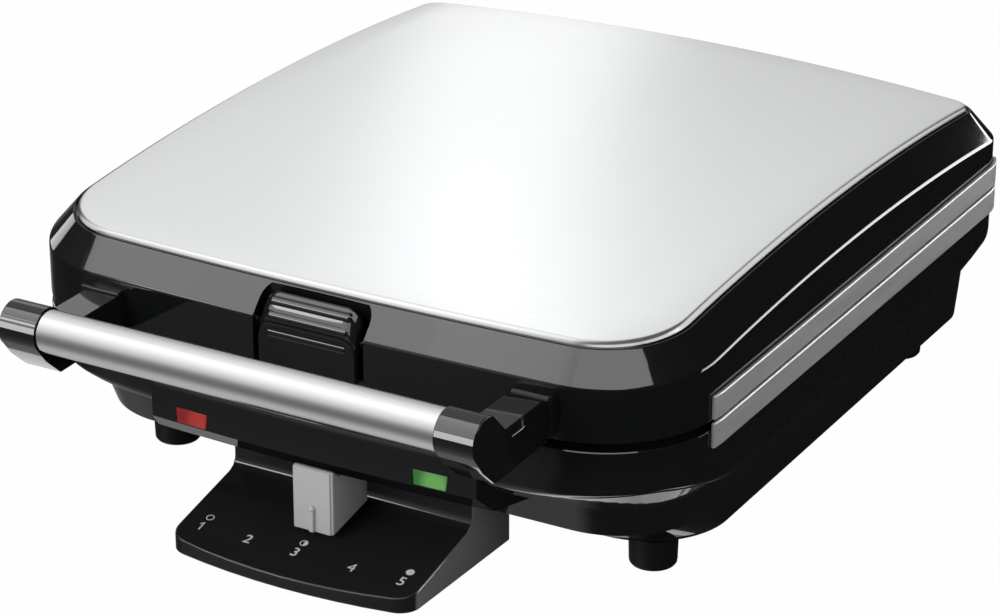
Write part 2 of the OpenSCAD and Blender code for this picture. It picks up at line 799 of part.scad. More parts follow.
base_shell();
bottom_cover();
bottom_screw(0);  // bottom_screw_1
bottom_screw(1);  // bottom_screw_2
bottom_screw(2);  // bottom_screw_3
bottom_screw(3);  // bottom_screw_4
foot(0);  // foot_front_left
foot(1);  // foot_front_right
foot(2);  // foot_rear_left
foot(3);  // foot_rear_right
base_deck();
lower_plate();
lower_element();
lower_reflector();
base_trim(-1);  // base_trim_left
base_trim(1);  // base_trim_right
control_housing();
control_pad();
slider_knob();
slider_carriage();
thermostat();
thermostat_pinion();
color([0.75, 0.1, 0.12]) at_origin() lens(-1);  // red_lens
color([0.25, 0.65, 0.2]) at_origin() lens(1);  // green_lens
color([0.95, 0.85, 0.8]) at_origin() lamp(-1);  // red_lamp
color([0.85, 0.95, 0.85]) at_origin() lamp(1);  // green_lamp
cord_gland();
terminal_block();
thermal_fuse();
hinge_bracket(-1);  // hinge_bracket_left
hinge_bracket(1);  // hinge_bracket_right
hinge_pin(-1);  // hinge_pin_left
hinge_pin(1);  // hinge_pin_right
lid_shell();
lid_panel();
lid_deck();
lid_trim(-1);  // lid_trim_left
lid_trim(1);  // lid_trim_right
upper_plate();
upper_element();
upper_reflector();
lid_lug(-1);  // lid_lug_left
lid_lug(1);  // lid_lug_right
latch();
latch_pin();
latch_bracket();
handle_tube();
handle_arm(-1);  // handle_arm_left
handle_arm(1);  // handle_arm_right
handle_screw(-1);  // handle_screw_left
handle_screw(1);  // handle_screw_right
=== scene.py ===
import logging
import math
from dataclasses import dataclass
from enum import Enum
from typing import Any, Optional, Sequence, Union

import bmesh
import bpy
from mathutils import Matrix, Vector

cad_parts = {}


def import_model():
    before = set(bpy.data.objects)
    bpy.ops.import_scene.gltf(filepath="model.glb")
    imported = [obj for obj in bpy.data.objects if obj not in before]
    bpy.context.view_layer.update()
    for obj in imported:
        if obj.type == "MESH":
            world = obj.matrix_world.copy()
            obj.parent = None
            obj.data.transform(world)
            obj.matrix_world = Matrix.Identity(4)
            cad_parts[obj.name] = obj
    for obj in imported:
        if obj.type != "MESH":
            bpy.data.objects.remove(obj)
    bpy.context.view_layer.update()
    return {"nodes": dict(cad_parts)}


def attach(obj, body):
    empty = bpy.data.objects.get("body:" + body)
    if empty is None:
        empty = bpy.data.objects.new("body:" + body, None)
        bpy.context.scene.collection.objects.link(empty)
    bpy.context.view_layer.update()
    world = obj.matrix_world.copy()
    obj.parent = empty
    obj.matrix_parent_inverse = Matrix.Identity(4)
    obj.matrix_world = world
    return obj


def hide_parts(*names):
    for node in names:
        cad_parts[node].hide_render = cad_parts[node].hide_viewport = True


LOG = logging.getLogger("waffle_maker")
Point = tuple[float, float, float]
Flat = tuple[float, float]
Colour = tuple[float, float, float]

MM = 0.001
# Shapes are written in millimetres from the waffle plates' middle, this far behind the frame's origin
SHIFT_Y = 18.9
TO_FRAME = Matrix.Diagonal((MM, MM, MM, 1.0)) @ Matrix.Translation((0.0, SHIFT_Y, 0.0))


class Body(Enum):
    """The rigid bodies that the pieces ride on."""

    BASE = "base"
    LID = "lid"
    LATCH = "latch"
    SLIDER = "slider"


class Side(Enum):
    """Left or right half of the appliance, seen from the handle."""

    LEFT = -1
    RIGHT = 1

    @property
    def tag(self) -> str:
        """The word used in piece names."""
        return self.name.lower()


# ---------------------------------------------------------------------------
# Shader graph
# ---------------------------------------------------------------------------


class Signal:
    """A number carried by a node socket, with the arithmetic that adds Math nodes."""

    def __init__(self, graph: "Graph", socket: bpy.types.NodeSocket) -> None:
        """Wraps one output socket.

        Args:
            graph: The graph that the socket belongs to.
            socket: The output socket.
        """
        self.graph = graph
        self.socket = socket

    def _math(self, operation: str, first: Any, second: Any) -> "Signal":
        """Adds one Math node and returns its result."""
        node = self.graph.node("ShaderNodeMath", {"operation": operation}, {0: first, 1: second})
        return Signal(self.graph, node.outputs[0])

    def __add__(self, other: Any) -> "Signal":
        """Sum."""
        return self._math("ADD", self, other)

    __radd__ = __add__

    def __mul__(self, other: Any) -> "Signal":
        """Product."""
        return self._math("MULTIPLY", self, other)

    __rmul__ = __mul__

    def __sub__(self, other: Any) -> "Signal":
        """Difference."""
        return self._math("SUBTRACT", self, other)

    def __rsub__(self, other: Any) -> "Signal":
        """Difference, with the number first."""
        return self._math("SUBTRACT", other, self)

    def at_most(self, other: Any) -> "Signal":
        """The smaller of the two."""
        return self._math("MINIMUM", self, other)


class Graph:
    """A node tree being written: one method adds any node."""

    def __init__(self, tree: bpy.types.NodeTree) -> None:
        """Starts an empty tree.

        Args:
            tree: The tree of a material or of the world.
        """
        self.tree = tree
        tree.nodes.clear()

    def node(
        self,
        kind: str,
        settings: Optional[dict[str, Any]] = None,
        inputs: Optional[dict[Union[str, int], Any]] = None,
    ) -> bpy.types.Node:
        """Adds a node.

        Args:
            kind: The node's type name.
            settings: Properties set first; "stops" are a colour ramp's (position, grey) pairs.
            inputs: Values, sockets or signals by socket name or index.

        Returns:
            The new node.
        """
        made = self.tree.nodes.new(kind)
        for key, value in (settings or {}).items():
            if key == "stops":
                ramp = made.color_ramp
                while len(ramp.elements) < len(value):
                    ramp.elements.new(0.5)
                for element, (at, grey) in zip(ramp.elements, value):
                    element.position = at
                    element.color = (grey, grey, grey, 1.0) if isinstance(grey, float) else (*grey, 1.0)
            else:
                setattr(made, key, value)
        for key, value in (inputs or {}).items():
            target = made.inputs[key]
            if isinstance(value, Signal):
                value = value.socket
            if isinstance(value, bpy.types.NodeSocket):
                self.tree.links.new(value, target)
            elif target.type == "RGBA" and len(value) == 3:
                target.default_value = (*value, 1.0)
            else:
                target.default_value = value
        return made

    def place(self) -> bpy.types.NodeSocket:
        """The point on the piece, in metres in the shared frame."""
        return self.node("ShaderNodeTexCoord").outputs["Object"]

    def axes(self, vector: bpy.types.NodeSocket) -> tuple[Signal, Signal, Signal]:
        """The three parts of a vector."""
        split = self.node("ShaderNodeSeparateXYZ", None, {0: vector})
        return Signal(self, split.outputs[0]), Signal(self, split.outputs[1]), Signal(self, split.outputs[2])

    def noise(
        self, vector: Any, scale: float, detail: float = 3.0, stretch: Point = (1.0, 1.0, 1.0)
    ) -> Signal:
        """Cloudy noise from 0 to 1.

        Args:
            vector: The point it is read at.
            scale: Cells per metre.
            detail: Octaves.
            stretch: How much each axis is scaled first; a small number draws the grain out along it.

        Returns:
            The noise.
        """
        moved = self.node("ShaderNodeMapping", None, {"Vector": vector, "Scale": stretch})
        made = self.node(
            "ShaderNodeTexNoise", None, {"Vector": moved.outputs[0], "Scale": scale, "Detail": detail}
        )
        return Signal(self, made.outputs[0])

    def span(
        self, value: Signal, low: float, high: float, to_low: float = 0.0, to_high: float = 1.0
    ) -> Signal:
        """Smooth step of a value between two limits, onto two results."""
        made = self.node(
            "ShaderNodeMapRange",
            {"interpolation_type": "SMOOTHSTEP"},
            {0: value, 1: low, 2: high, 3: to_low, 4: to_high},
        )
        return Signal(self, made.outputs[0])

    def blend(self, factor: Any, first: Any, second: Any) -> bpy.types.NodeSocket:
        """Mix of two colours."""
        made = self.node("ShaderNodeMix", {"data_type": "RGBA"}, {0: factor, 6: first, 7: second})
        return made.outputs[2]

    def bump(self, height: Signal, strength: float, distance: float) -> bpy.types.NodeSocket:
        """Normal from a height."""
        made = self.node(
            "ShaderNodeBump", None, {"Height": height, "Strength": strength, "Distance": distance}
        )
        return made.outputs[0]

    def surface(
        self,
        fixed: dict[str, float],
        colour: bpy.types.NodeSocket,
        rough: Signal,
        normal: bpy.types.NodeSocket,
    ) -> None:
        """Ends a material in one Principled shader.

        Args:
            fixed: Uniform values, set on the sockets themselves.
            colour: The colour over the surface.
            rough: The roughness over the surface.
            normal: The bumped normal.
        """
        driven = {"Base Color": colour, "Roughness": rough, "Normal": normal}
        shader = self.node("ShaderNodeBsdfPrincipled", None, {**fixed, **driven})
        self.node("ShaderNodeOutputMaterial", None, {"Surface": shader.outputs[0]})


def shade(colour: Colour, factor: float) -> Colour:
    """A colour times a number, kept below 1."""
    return tuple(min(1.0, c * factor) for c in colour)


# ---------------------------------------------------------------------------
# Finishes
# ---------------------------------------------------------------------------


@dataclass(frozen=True)
class Finish:
    """A named finish and the record's slot that it belongs to."""

    name: str
    slot: str
    colour: Colour
    roughness: float = 0.4

    def material(self) -> bpy.types.Material:
        """Builds the material, once.

        Returns:
            The material with this finish's name.
        """
        known = bpy.data.materials.get(self.name)
        if known:
            return known
        made = bpy.data.materials.new(self.name)
        made.use_nodes = True
        graph = Graph(made.node_tree)
        self.build(graph, graph.place())
        return made

    def build(self, g: Graph, at: bpy.types.NodeSocket) -> None:
        """Writes the graph.

        Args:
            g: The material's empty graph.
            at: The point on the piece.
        """
        raise NotImplementedError

    def tones(self, g: Graph, factor: Signal, low: float, high: float) -> bpy.types.NodeSocket:
        """The finish's colour, from one share of its strength to another."""
        return g.blend(factor, shade(self.colour, low), shade(self.colour, high))


@dataclass(frozen=True)
class MouldedPlastic(Finish):
    """Moulded plastic: a faint flow pattern, fine grain, slight handling marks and an optional painted sheen
    on one side face.
    """

    specular: float = 0.4
    grain: float = 0.05
    # Painted sheen: where on x the side face starts to be painted light grey, in metres, and that grey; 0
    # leaves it out
    painted_sheen_x: float = 0.0
    painted_sheen_grey: Colour = (0.22, 0.22, 0.22)

    def build(self, g: Graph, at: bpy.types.NodeSocket) -> None:
        """Writes the graph."""
        flow = g.noise(at, 18.0, 2.0)
        grain = g.noise(at, 2600.0, 2.0)
        marks = g.noise(at, 140.0, 4.0, (1.0, 0.25, 1.0))
        colour = self.tones(g, flow, 0.85, 1.2)
        # Painted sheen: past this x the colour turns light grey, standing in for light caught by the side
        # face
        if self.painted_sheen_x:
            x, _, _ = g.axes(at)
            face = g.span(x, self.painted_sheen_x - 0.0004, self.painted_sheen_x + 0.00005)
            colour = g.blend(face, colour, self.painted_sheen_grey)
        rough = self.roughness + (marks - 0.5) * self.roughness * 0.5 + (flow - 0.5) * self.roughness * 0.3
        g.surface({"Specular IOR Level": self.specular}, colour, rough, g.bump(grain, self.grain, 0.00003))


@dataclass(frozen=True)
class BrushedMetal(Finish):
    """Brushed or satin metal: fine streaks drawn out along one axis."""

    stretch: Point = (0.02, 1.0, 1.0)
    streak: float = 1800.0
    metallic: float = 1.0
    depth: float = 0.06
    spread: float = 0.06

    def build(self, g: Graph, at: bpy.types.NodeSocket) -> None:
        """Writes the graph."""
        streaks = g.noise(at, self.streak, 3.0, self.stretch)
        cloud = g.noise(at, 9.0, 2.0)
        tone = streaks * 0.75 + cloud * 0.25
        colour = self.tones(g, tone, 1.0 - self.spread, 1.0 + self.spread)
        rough = self.roughness + (streaks - 0.5) * 0.10 + (cloud - 0.5) * 0.05
        g.surface({"Metallic": self.metallic}, colour, rough, g.bump(streaks, self.depth, 0.00004))


@dataclass(frozen=True)
class GrainedTrim(Finish):
    """Silver trim with a fine metallic grain."""

    metallic: float = 0.75

    def build(self, g: Graph, at: bpy.types.NodeSocket) -> None:
        """Writes the graph."""
        flakes = g.noise(at, 2400.0, 2.0)
        drawn = g.noise(at, 700.0, 3.0, (1.0, 0.05, 1.0))
        colour = self.tones(g, flakes * 0.6 + drawn * 0.4, 0.74, 1.26)
        rough = self.roughness + (drawn - 0.5) * 0.12
        g.surface({"Metallic": self.metallic}, colour, rough, g.bump(flakes, 0.12, 0.00004))


@dataclass(frozen=True)
class NonStick(Finish):
    """Dark coating on cast metal, with fine speckle and a baked bloom."""

    def build(self, g: Graph, at: bpy.types.NodeSocket) -> None:
        """Writes the graph."""
        speckle = g.noise(at, 1500.0, 4.0)
        bloom = g.noise(at, 22.0, 3.0)
        colour = self.tones(g, speckle * 0.6 + bloom * 0.4, 0.6, 1.5)
        rough = self.roughness + (bloom - 0.5) * 0.15
        g.surface({"Metallic": 0.25}, colour, rough, g.bump(speckle, 0.25, 0.00008))


@dataclass(frozen=True)
class DullMetal(Finish):
    """Plain plated, rolled or heat-tinted metal."""

    tint: Colour = (0.5, 0.4, 0.3)
    tint_share: float = 0.2

    def build(self, g: Graph, at: bpy.types.NodeSocket) -> None:
        """Writes the graph."""
        patches = g.noise(at, 60.0, 4.0)
        fine = g.noise(at, 1600.0, 3.0)
        colour = g.blend(g.span(patches, 0.45, 0.7) * self.tint_share, self.colour, self.tint)
        rough = self.roughness + (fine - 0.5) * 0.14
        g.surface({"Metallic": 1.0}, colour, rough, g.bump(fine, 0.08, 0.00004))


@dataclass(frozen=True)
class MattPlastic(Finish):
    """Rubber and natural engineering plastics: matte, slightly mottled."""

    def build(self, g: Graph, at: bpy.types.NodeSocket) -> None:
        """Writes the graph."""
        mottle = g.noise(at, 90.0, 4.0)
        pores = g.noise(at, 1900.0, 2.0)
        rough = self.roughness + (mottle - 0.5) * 0.1
        colour = self.tones(g, mottle, 0.85, 1.15)
        g.surface({"Specular IOR Level": 0.35}, colour, rough, g.bump(pores, 0.15, 0.00005))


@dataclass(frozen=True)
class LensPlastic(Finish):
    """Coloured lens over a lamp: a fine ribbed back, and a painted glow, lighter where the lamp sits."""

    # The painted glow: its colour, and the point it is centred on, in metres
    bright: Colour = (0.8, 0.1, 0.1)
    glow_x: float = 0.0
    glow_z: float = 0.0462
    glow_reach: float = 0.00005

    def build(self, g: Graph, at: bpy.types.NodeSocket) -> None:
        """Writes the graph."""
        x, _, z = g.axes(at)
        across, up = x - self.glow_x, z - self.glow_z
        # Painted glow: the colour is blended towards a brighter one round that point, standing in for the
        # lamp's light
        painted_glow_share = g.span(across * across + up * up, 0.0, self.glow_reach, 1.0, 0.0)
        ribs = g.noise(at, 900.0, 1.0, (1.0, 1.0, 0.1))
        colour = g.blend((painted_glow_share * 0.8 + ribs * 0.2).at_most(1.0), self.colour, self.bright)
        fixed = {"Coat Weight": 0.4, "Coat Roughness": 0.05}
        g.surface(fixed, colour, self.roughness + ribs * 0.06, g.bump(ribs, 0.15, 0.0002))


BLACK_GLOSS = MouldedPlastic(
    "gloss_moulding", "black_gloss", (0.0082, 0.0092, 0.0088), 0.05, specular=0.5, grain=0.006
)
# The pad's black, with its right side face painted light grey as a painted sheen
BLACK_PAD = MouldedPlastic(
    "pad_moulding_painted_sheen", "black_gloss", (0.0165, 0.0175, 0.0170), 0.06, specular=0.5, grain=0.006,
    painted_sheen_x=0.0493,
)
BLACK_SATIN = MouldedPlastic("satin_moulding", "black_satin", (0.010, 0.0105, 0.0105), 0.42, grain=0.2)
STEEL_PANEL = BrushedMetal(
    "brushed_panel", "steel_panel", (0.86, 0.867, 0.875), 0.24, spread=0.012, depth=0.015
)
TUBE = BrushedMetal("satin_tube", "tube", (0.86, 0.865, 0.87), 0.24, spread=0.02, depth=0.03)
TRIM = GrainedTrim("silver_trim", "trim", (0.74, 0.745, 0.755), 0.36, metallic=0.55)
KNOB = BrushedMetal(
    "silver_knob", "knob", (0.86, 0.865, 0.87), 0.42, stretch=(1.0, 1.0, 1.0), streak=2200.0, metallic=0.35,
    depth=0.04, spread=0.03,
)
PLATE = NonStick("cast_nonstick", "plate", (0.035, 0.035, 0.037), 0.42)
SHEET = DullMetal("mill_sheet", "sheet", (0.62, 0.63, 0.64), 0.34, tint=(0.5, 0.42, 0.3))
ELEMENT = DullMetal("sheathed_rod", "element", (0.22, 0.21, 0.2), 0.5, tint=(0.2, 0.14, 0.11), tint_share=0.6)
FASTENER = DullMetal("plated_steel", "fastener", (0.6, 0.6, 0.61), 0.28, tint=(0.5, 0.48, 0.44))
INNER = MattPlastic("heatproof_plastic", "inner_plastic", (0.5, 0.48, 0.43), 0.55)
GEAR = MattPlastic("natural_nylon", "gear", (0.62, 0.6, 0.54), 0.45)
RUBBER = MattPlastic("foot_rubber", "rubber", (0.010, 0.011, 0.011), 0.42)
# Each lens carries a painted glow, brighter round its lamp
RED_LENS = LensPlastic(
    "red_window", "red_lens", (0.30, 0.008, 0.010), 0.2, bright=(0.62, 0.05, 0.04), glow_x=-0.0450
)
GREEN_LENS = LensPlastic(
    "green_window", "green_lens", (0.035, 0.20, 0.035), 0.2, bright=(0.22, 0.62, 0.16), glow_x=0.0505
)
LAMP = MattPlastic("lamp_envelope", "lamp", (0.8, 0.74, 0.62), 0.2)
PRINT = MattPlastic("white_print", "black_gloss", (0.78, 0.78, 0.78), 0.5)

NODE_FINISH: dict[Finish, tuple[str, ...]] = {
    BLACK_SATIN: ("bottom_cover", "cord_gland", "latch_bracket"),
    PLATE: ("base_deck", "lower_plate", "lid_deck", "upper_plate"),
    SHEET: ("lower_reflector", "upper_reflector"),
    ELEMENT: ("lower_element", "upper_element"),
    FASTENER: ("thermal_fuse", "latch_pin"),
    INNER: ("thermostat", "terminal_block"),
    GEAR: ("slider_carriage", "thermostat_pinion"),
    LAMP: ("red_lamp", "green_lamp"),
}


# ---------------------------------------------------------------------------
# Shaping
# ---------------------------------------------------------------------------

SHARP = 30.0


def crisp(mesh: bpy.types.Mesh, sharp: float = SHARP) -> None:
    """Shades a mesh smooth.

    Args:
        mesh: The mesh.
        sharp: Edges sharper than this many degrees stay crisp.
    """
    mesh.polygons.foreach_set("use_smooth", [True] * len(mesh.polygons))
    mesh.set_sharp_from_angle(angle=math.radians(sharp))


def stand(name: str, bm: bmesh.types.BMesh, material: bpy.types.Material) -> bpy.types.Object:
    """Makes an object at the origin from a bmesh, which is freed.

    Args:
        name: The object's name and its mesh's.
        bm: The shape, in metres in the shared frame.
        material: What it is made of.

    Returns:
        The new object.
    """
    mesh = bpy.data.meshes.new(name)
    bm.to_mesh(mesh)
    bm.free()
    mesh.materials.append(material)
    made = bpy.data.objects.new(name, mesh)
    bpy.context.scene.collection.objects.link(made)
    return made


def full_turn(
    bm: bmesh.types.BMesh, profile: Sequence[Point], centre: Point, axis: Point, steps: int, closed: bool
) -> None:
    """Spins a profile once round an axis.

    Args:
        bm: The shape that it is added to.
        profile: The profile's corners.
        centre: A point on the axis.
        axis: The axis's direction.
        steps: Facets round the axis.
        closed: Joins the last corner to the first.
    """
    verts = [bm.verts.new(p) for p in profile]
    pairs = list(zip(verts, verts[1:])) + ([(verts[-1], verts[0])] if closed else [])
    edges = [bm.edges.new(pair) for pair in pairs]
    bmesh.ops.spin(
        bm, geom=verts + edges, cent=centre, axis=axis, angle=2 * math.pi, steps=steps, use_merge=True
    )


@dataclass(frozen=True)
class Outline:
    """Rounded rectangle with a bowed front and rear, in millimetres from the plates' middle."""

    half: float
    front: float
    rear: float
    front_r: float
    rear_r: float
    front_bow: float
    rear_bow: float
    corner_steps: int = 16
    bow_steps: int = 24
    side_steps: int = 20

    def points(self, inset: float) -> list[Flat]:
        """The outline moved inwards, anticlockwise from the front right corner.

        Args:
            inset: Even inset.

        Returns:
            The corners of the closed outline.
        """
        cf, cb = self.half - self.front_r, self.half - self.rear_r
        af, ab = 2 * math.atan(self.front_bow / cf), 2 * math.atan(self.rear_bow / cb)
        kf, kb = cf / math.sin(af), cb / math.sin(ab)
        yf, yb = self.front_r - self.front, self.rear - self.rear_r
        rf, rb = self.front_r - inset, self.rear_r - inset
        quarter = math.pi / 2
        found: list[Flat] = []
        found += self._arc(cf, yf, rf, af - quarter, 0.0, self.corner_steps, True)
        found += self._side(self.half - inset, yf, yb)
        found += self._arc(cb, yb, rb, 0.0, quarter - ab, self.corner_steps, True)
        found += self._arc(
            0.0, yb - kb * math.cos(ab), kb + rb, quarter - ab, quarter + ab, self.bow_steps, False
        )
        found += self._arc(-cb, yb, rb, quarter + ab, math.pi, self.corner_steps, True)
        found += self._side(inset - self.half, yb, yf)
        found += self._arc(-cf, yf, rf, math.pi, 3 * quarter - af, self.corner_steps, True)
        found += self._arc(
            0.0, yf + kf * math.cos(af), kf + rf, 3 * quarter - af, 3 * quarter + af, self.bow_steps, False
        )
        return found

    @staticmethod
    def _arc(cx: float, cy: float, r: float, a0: float, a1: float, steps: int, ends: bool) -> list[Flat]:
        """Points of an arc, with or without its two ends."""
        first, last = (0, steps) if ends else (1, steps - 1)
        angles = [a0 + (a1 - a0) * i / steps for i in range(first, last + 1)]
        return [(cx + r * math.cos(a), cy + r * math.sin(a)) for a in angles]

    def _side(self, x: float, y0: float, y1: float) -> list[Flat]:
        """Points of a straight side, without its two ends."""
        return [(x, y0 + (y1 - y0) * i / self.side_steps) for i in range(1, self.side_steps)]


Ring = list[Point]


def level(points: Sequence[Flat], z: float) -> Ring:
    """A ring at one height."""
    return [(x, y, z) for x, y in points]


def between(first: Ring, second: Ring, t: float) -> Ring:
    """The ring a share t of the way from one ring to another."""
    return [tuple(a + (b - a) * t for a, b in zip(p, q)) for p, q in zip(first, second)]


def rounded(first: Ring, corner: Ring, last: Ring, steps: int = 4) -> list[Ring]:
    """Rings that turn a corner smoothly.

    Args:
        first: Where the round starts.
        corner: The sharp corner that it replaces.
        last: Where the round ends.
        steps: Number of facets.

    Returns:
        The rings from first to last.
    """
    rings = []
    for i in range(steps + 1):
        t = i / steps
        rings.append(between(between(first, corner, t), between(corner, last, t), t))
    return rings


class Form:
    """A mesh being shaped in millimetres, from the plates' middle."""

    def __init__(self) -> None:
        """Starts empty."""
        self.bm = bmesh.new()

    def ring(self, points: Ring) -> list[bmesh.types.BMEdge]:
        """Adds a closed ring of edges."""
        verts = [self.bm.verts.new(p) for p in points]
        return [self.bm.edges.new((verts[i], verts[(i + 1) % len(verts)])) for i in range(len(verts))]

    def loft(
        self, rings: Sequence[Ring], cap_first: bool = False, cap_last: bool = False, loop: bool = False
    ) -> "Form":
        """Bridges a stack of rings.

        Args:
            rings: The rings in order.
            cap_first: Closes the first ring with a face.
            cap_last: Closes the last ring with a face.
            loop: Bridges the last ring back to the first.

        Returns:
            This form.
        """
        edges = [self.ring(r) for r in rings]
        pairs = list(zip(edges, edges[1:])) + ([(edges[-1], edges[0])] if loop else [])
        for low, high in pairs:
            bmesh.ops.bridge_loops(self.bm, edges=low + high)
        if cap_first:
            bmesh.ops.contextual_create(self.bm, geom=edges[0])
        if cap_last:
            bmesh.ops.contextual_create(self.bm, geom=edges[-1])
        return self

    def extrude(self, outline: Ring, along: Point) -> "Form":
        """Extrudes a flat outline.

        Args:
            outline: The outline's corners.
            along: How far and which way.

        Returns:
            This form.
        """
        face = self.bm.faces.new([self.bm.verts.new(p) for p in outline])
        made = bmesh.ops.extrude_face_region(self.bm, geom=[face], use_keep_orig=True)
        moved = [v for v in made["geom"] if isinstance(v, bmesh.types.BMVert)]
        bmesh.ops.translate(self.bm, verts=moved, vec=along)
        return self

    def box(self, low: Point, high: Point) -> "Form":
        """Adds a box between two corners."""
        size = [b - a for a, b in zip(low, high)]
        middle = [(a + b) / 2 for a, b in zip(low, high)]
        matrix = Matrix.Translation(middle) @ Matrix.Diagonal((*size, 1.0))
        bmesh.ops.create_cube(self.bm, size=1.0, matrix=matrix)
        return self

    def lathe(self, profile: Sequence[Flat], centre: Point, axis: Point, steps: int = 64) -> "Form":
        """Turns a profile about an axis.

        Args:
            profile: (radius, distance along the axis) pairs.
            centre: The point on the axis where the distance is 0.
            axis: The axis's direction.
            steps: Facets round the axis.

        Returns:
            This form.
        """
        way = Vector(axis).normalized()
        out = way.orthogonal().normalized()
        corners = [Vector(centre) + out * r + way * h for r, h in profile]
        full_turn(self.bm, corners, centre, way, steps, closed=False)
        return self

    def piece(self, name: str, finish: Finish, sharp: float = SHARP) -> bpy.types.Object:
        """Finishes the mesh and makes its object, in metres in the shared frame.

        Args:
            name: The piece's name.
            finish: Its finish.
            sharp: Edges sharper than this many degrees stay crisp.

        Returns:
            The new object, at the origin.
        """
        bmesh.ops.remove_doubles(self.bm, verts=self.bm.verts, dist=0.0005)
        bmesh.ops.recalc_face_normals(self.bm, faces=self.bm.faces)
        bmesh.ops.transform(self.bm, matrix=TO_FRAME, verts=self.bm.verts)
        made = stand(name, self.bm, finish.material())
        crisp(made.data, sharp)
        return made

    def cutter(self) -> bpy.types.Object:
        """Finishes the mesh as a solid to be taken away."""
        return self.piece("cutter", BLACK_GLOSS)


def carve(piece: bpy.types.Object, cutters: Sequence[bpy.types.Object], sharp: float = SHARP) -> None:
    """Cuts openings into a piece and removes the cutters.

    Args:
        piece: The piece.
        cutters: The solids to take away.
        sharp: Edges sharper than this many degrees stay crisp.
    """
    for cutter in cutters:
        tool = piece.modifiers.new("cut", "BOOLEAN")
        tool.operation = "DIFFERENCE"
        tool.solver = "EXACT"
        tool.object = cutter
    settle(piece)
    for cutter in cutters:
        bpy.data.objects.remove(cutter)
    crisp(piece.data, sharp)


def settle(piece: bpy.types.Object) -> None:
    """Applies a piece's modifiers to its mesh."""
    graph = bpy.context.evaluated_depsgraph_get()
    mesh = bpy.data.meshes.new_from_object(piece.evaluated_get(graph))
    piece.modifiers.clear()
    old = piece.data
    piece.data = mesh
    mesh.name = piece.name
    if old.users == 0:
        bpy.data.meshes.remove(old)


def even(piece: bpy.types.Object) -> bpy.types.Object:
    """Keeps wide faces flat where they meet narrow rounds."""
    normals = piece.modifiers.new("normals", "WEIGHTED_NORMAL")
    normals.keep_sharp = True
    normals.weight = 80
    return piece


def soften(piece: bpy.types.Object, width: float, segments: int = 3, angle: float = 32.0) -> bpy.types.Object:
    """Rounds a piece's edges.

    Args:
        piece: The piece.
        width: Width of the round, in millimetres.
        segments: Facets across it.
        angle: Edges sharper than this many degrees are rounded.

    Returns:
        The piece.
    """
    piece.data.polygons.foreach_set("use_smooth", [True] * len(piece.data.polygons))
    bevel = piece.modifiers.new("round", "BEVEL")
    bevel.width = width * MM
    bevel.segments = segments
    bevel.limit_method = "ANGLE"
    bevel.angle_limit = math.radians(angle)
    bevel.miter_outer = "MITER_ARC"
    return even(piece)


class Workshop:
    """Puts finished pieces on their bodies and reports them."""

    def __init__(self, nodes: dict[str, bpy.types.Object]) -> None:
        """Keeps the model's own nodes.

        Args:
            nodes: The solids by name.
        """
        self.nodes = nodes
        self.count = 0
        self.by_slot: dict[str, list[bpy.types.Object]] = {}

    def fit(self, piece: bpy.types.Object, body: Body, finish: Finish, *replaced: str) -> bpy.types.Object:
        """Rides a piece on its body.

        Args:
            piece: The piece, in place.
            body: The body that it moves with.
            finish: Its finish, whose slot it takes.
            replaced: The solids that it stands for.

        Returns:
            The piece.
        """
        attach(piece, body.value)
        if replaced:
            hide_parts(*replaced)
        self.count += 1
        self.by_slot.setdefault(finish.slot, []).append(piece)
        LOG.info("%s on %s", piece.name, body.value)
        return piece

    def made_of(self, *finishes: Finish) -> list[bpy.types.Object]:
        """The pieces that take one of these finishes' slots."""
        return [piece for slot in {f.slot for f in finishes} for piece in self.by_slot.get(slot, [])]

    def copy(self, node: str, finish: Finish) -> bpy.types.Object:
        """A merged copy of a solid, ready to be rounded.

        Args:
            node: The solid's name.
            finish: The copy's finish.

        Returns:
            The copy.
        """
        bm = bmesh.new()
        bm.from_mesh(self.nodes[node].data)
        bmesh.ops.remove_doubles(bm, verts=bm.verts, dist=2e-6)
        bmesh.ops.dissolve_limit(
            bm, angle_limit=math.radians(0.4), verts=bm.verts, edges=bm.edges, use_dissolve_boundaries=False
        )
        made = stand(f"{node}_shown", bm, finish.material())
        crisp(made.data)
        return made

    def paint(self, finish: Finish, *nodes: str) -> None:
        """Gives solids that keep their shape a finish."""
        for node in nodes:
            mesh = self.nodes[node].data
            mesh.materials.clear()
            mesh.materials.append(finish.material())


# ---------------------------------------------------------------------------
# Sub-assemblies
# ---------------------------------------------------------------------------

BODY = Outline(132.5, 147.8, 146.8, 43.4, 19.6, 4.7, 7.3)
BAND_LOW = Outline(132.5, 147.8, 146.8, 59.0, 19.6, 4.7, 7.3)
BAND_HIGH = Outline(132.5, 147.8, 146.8, 50.0, 19.6, 4.7, 7.3)
PANEL = Outline(122.9, 138.2, 137.2, 33.0, 10.0, 4.7, 7.3)
TUB_FOOT = Outline(119.5, 100.4, 144.0, 31.7, 14.0, 0.5, 5.3)
TUB_MIDDLE = Outline(120.5, 122.0, 144.5, 34.6, 14.0, 0.5, 5.3)
TUB_TOP = Outline(122.0, 126.6, 145.25, 35.0, 14.0, 0.5, 5.3)


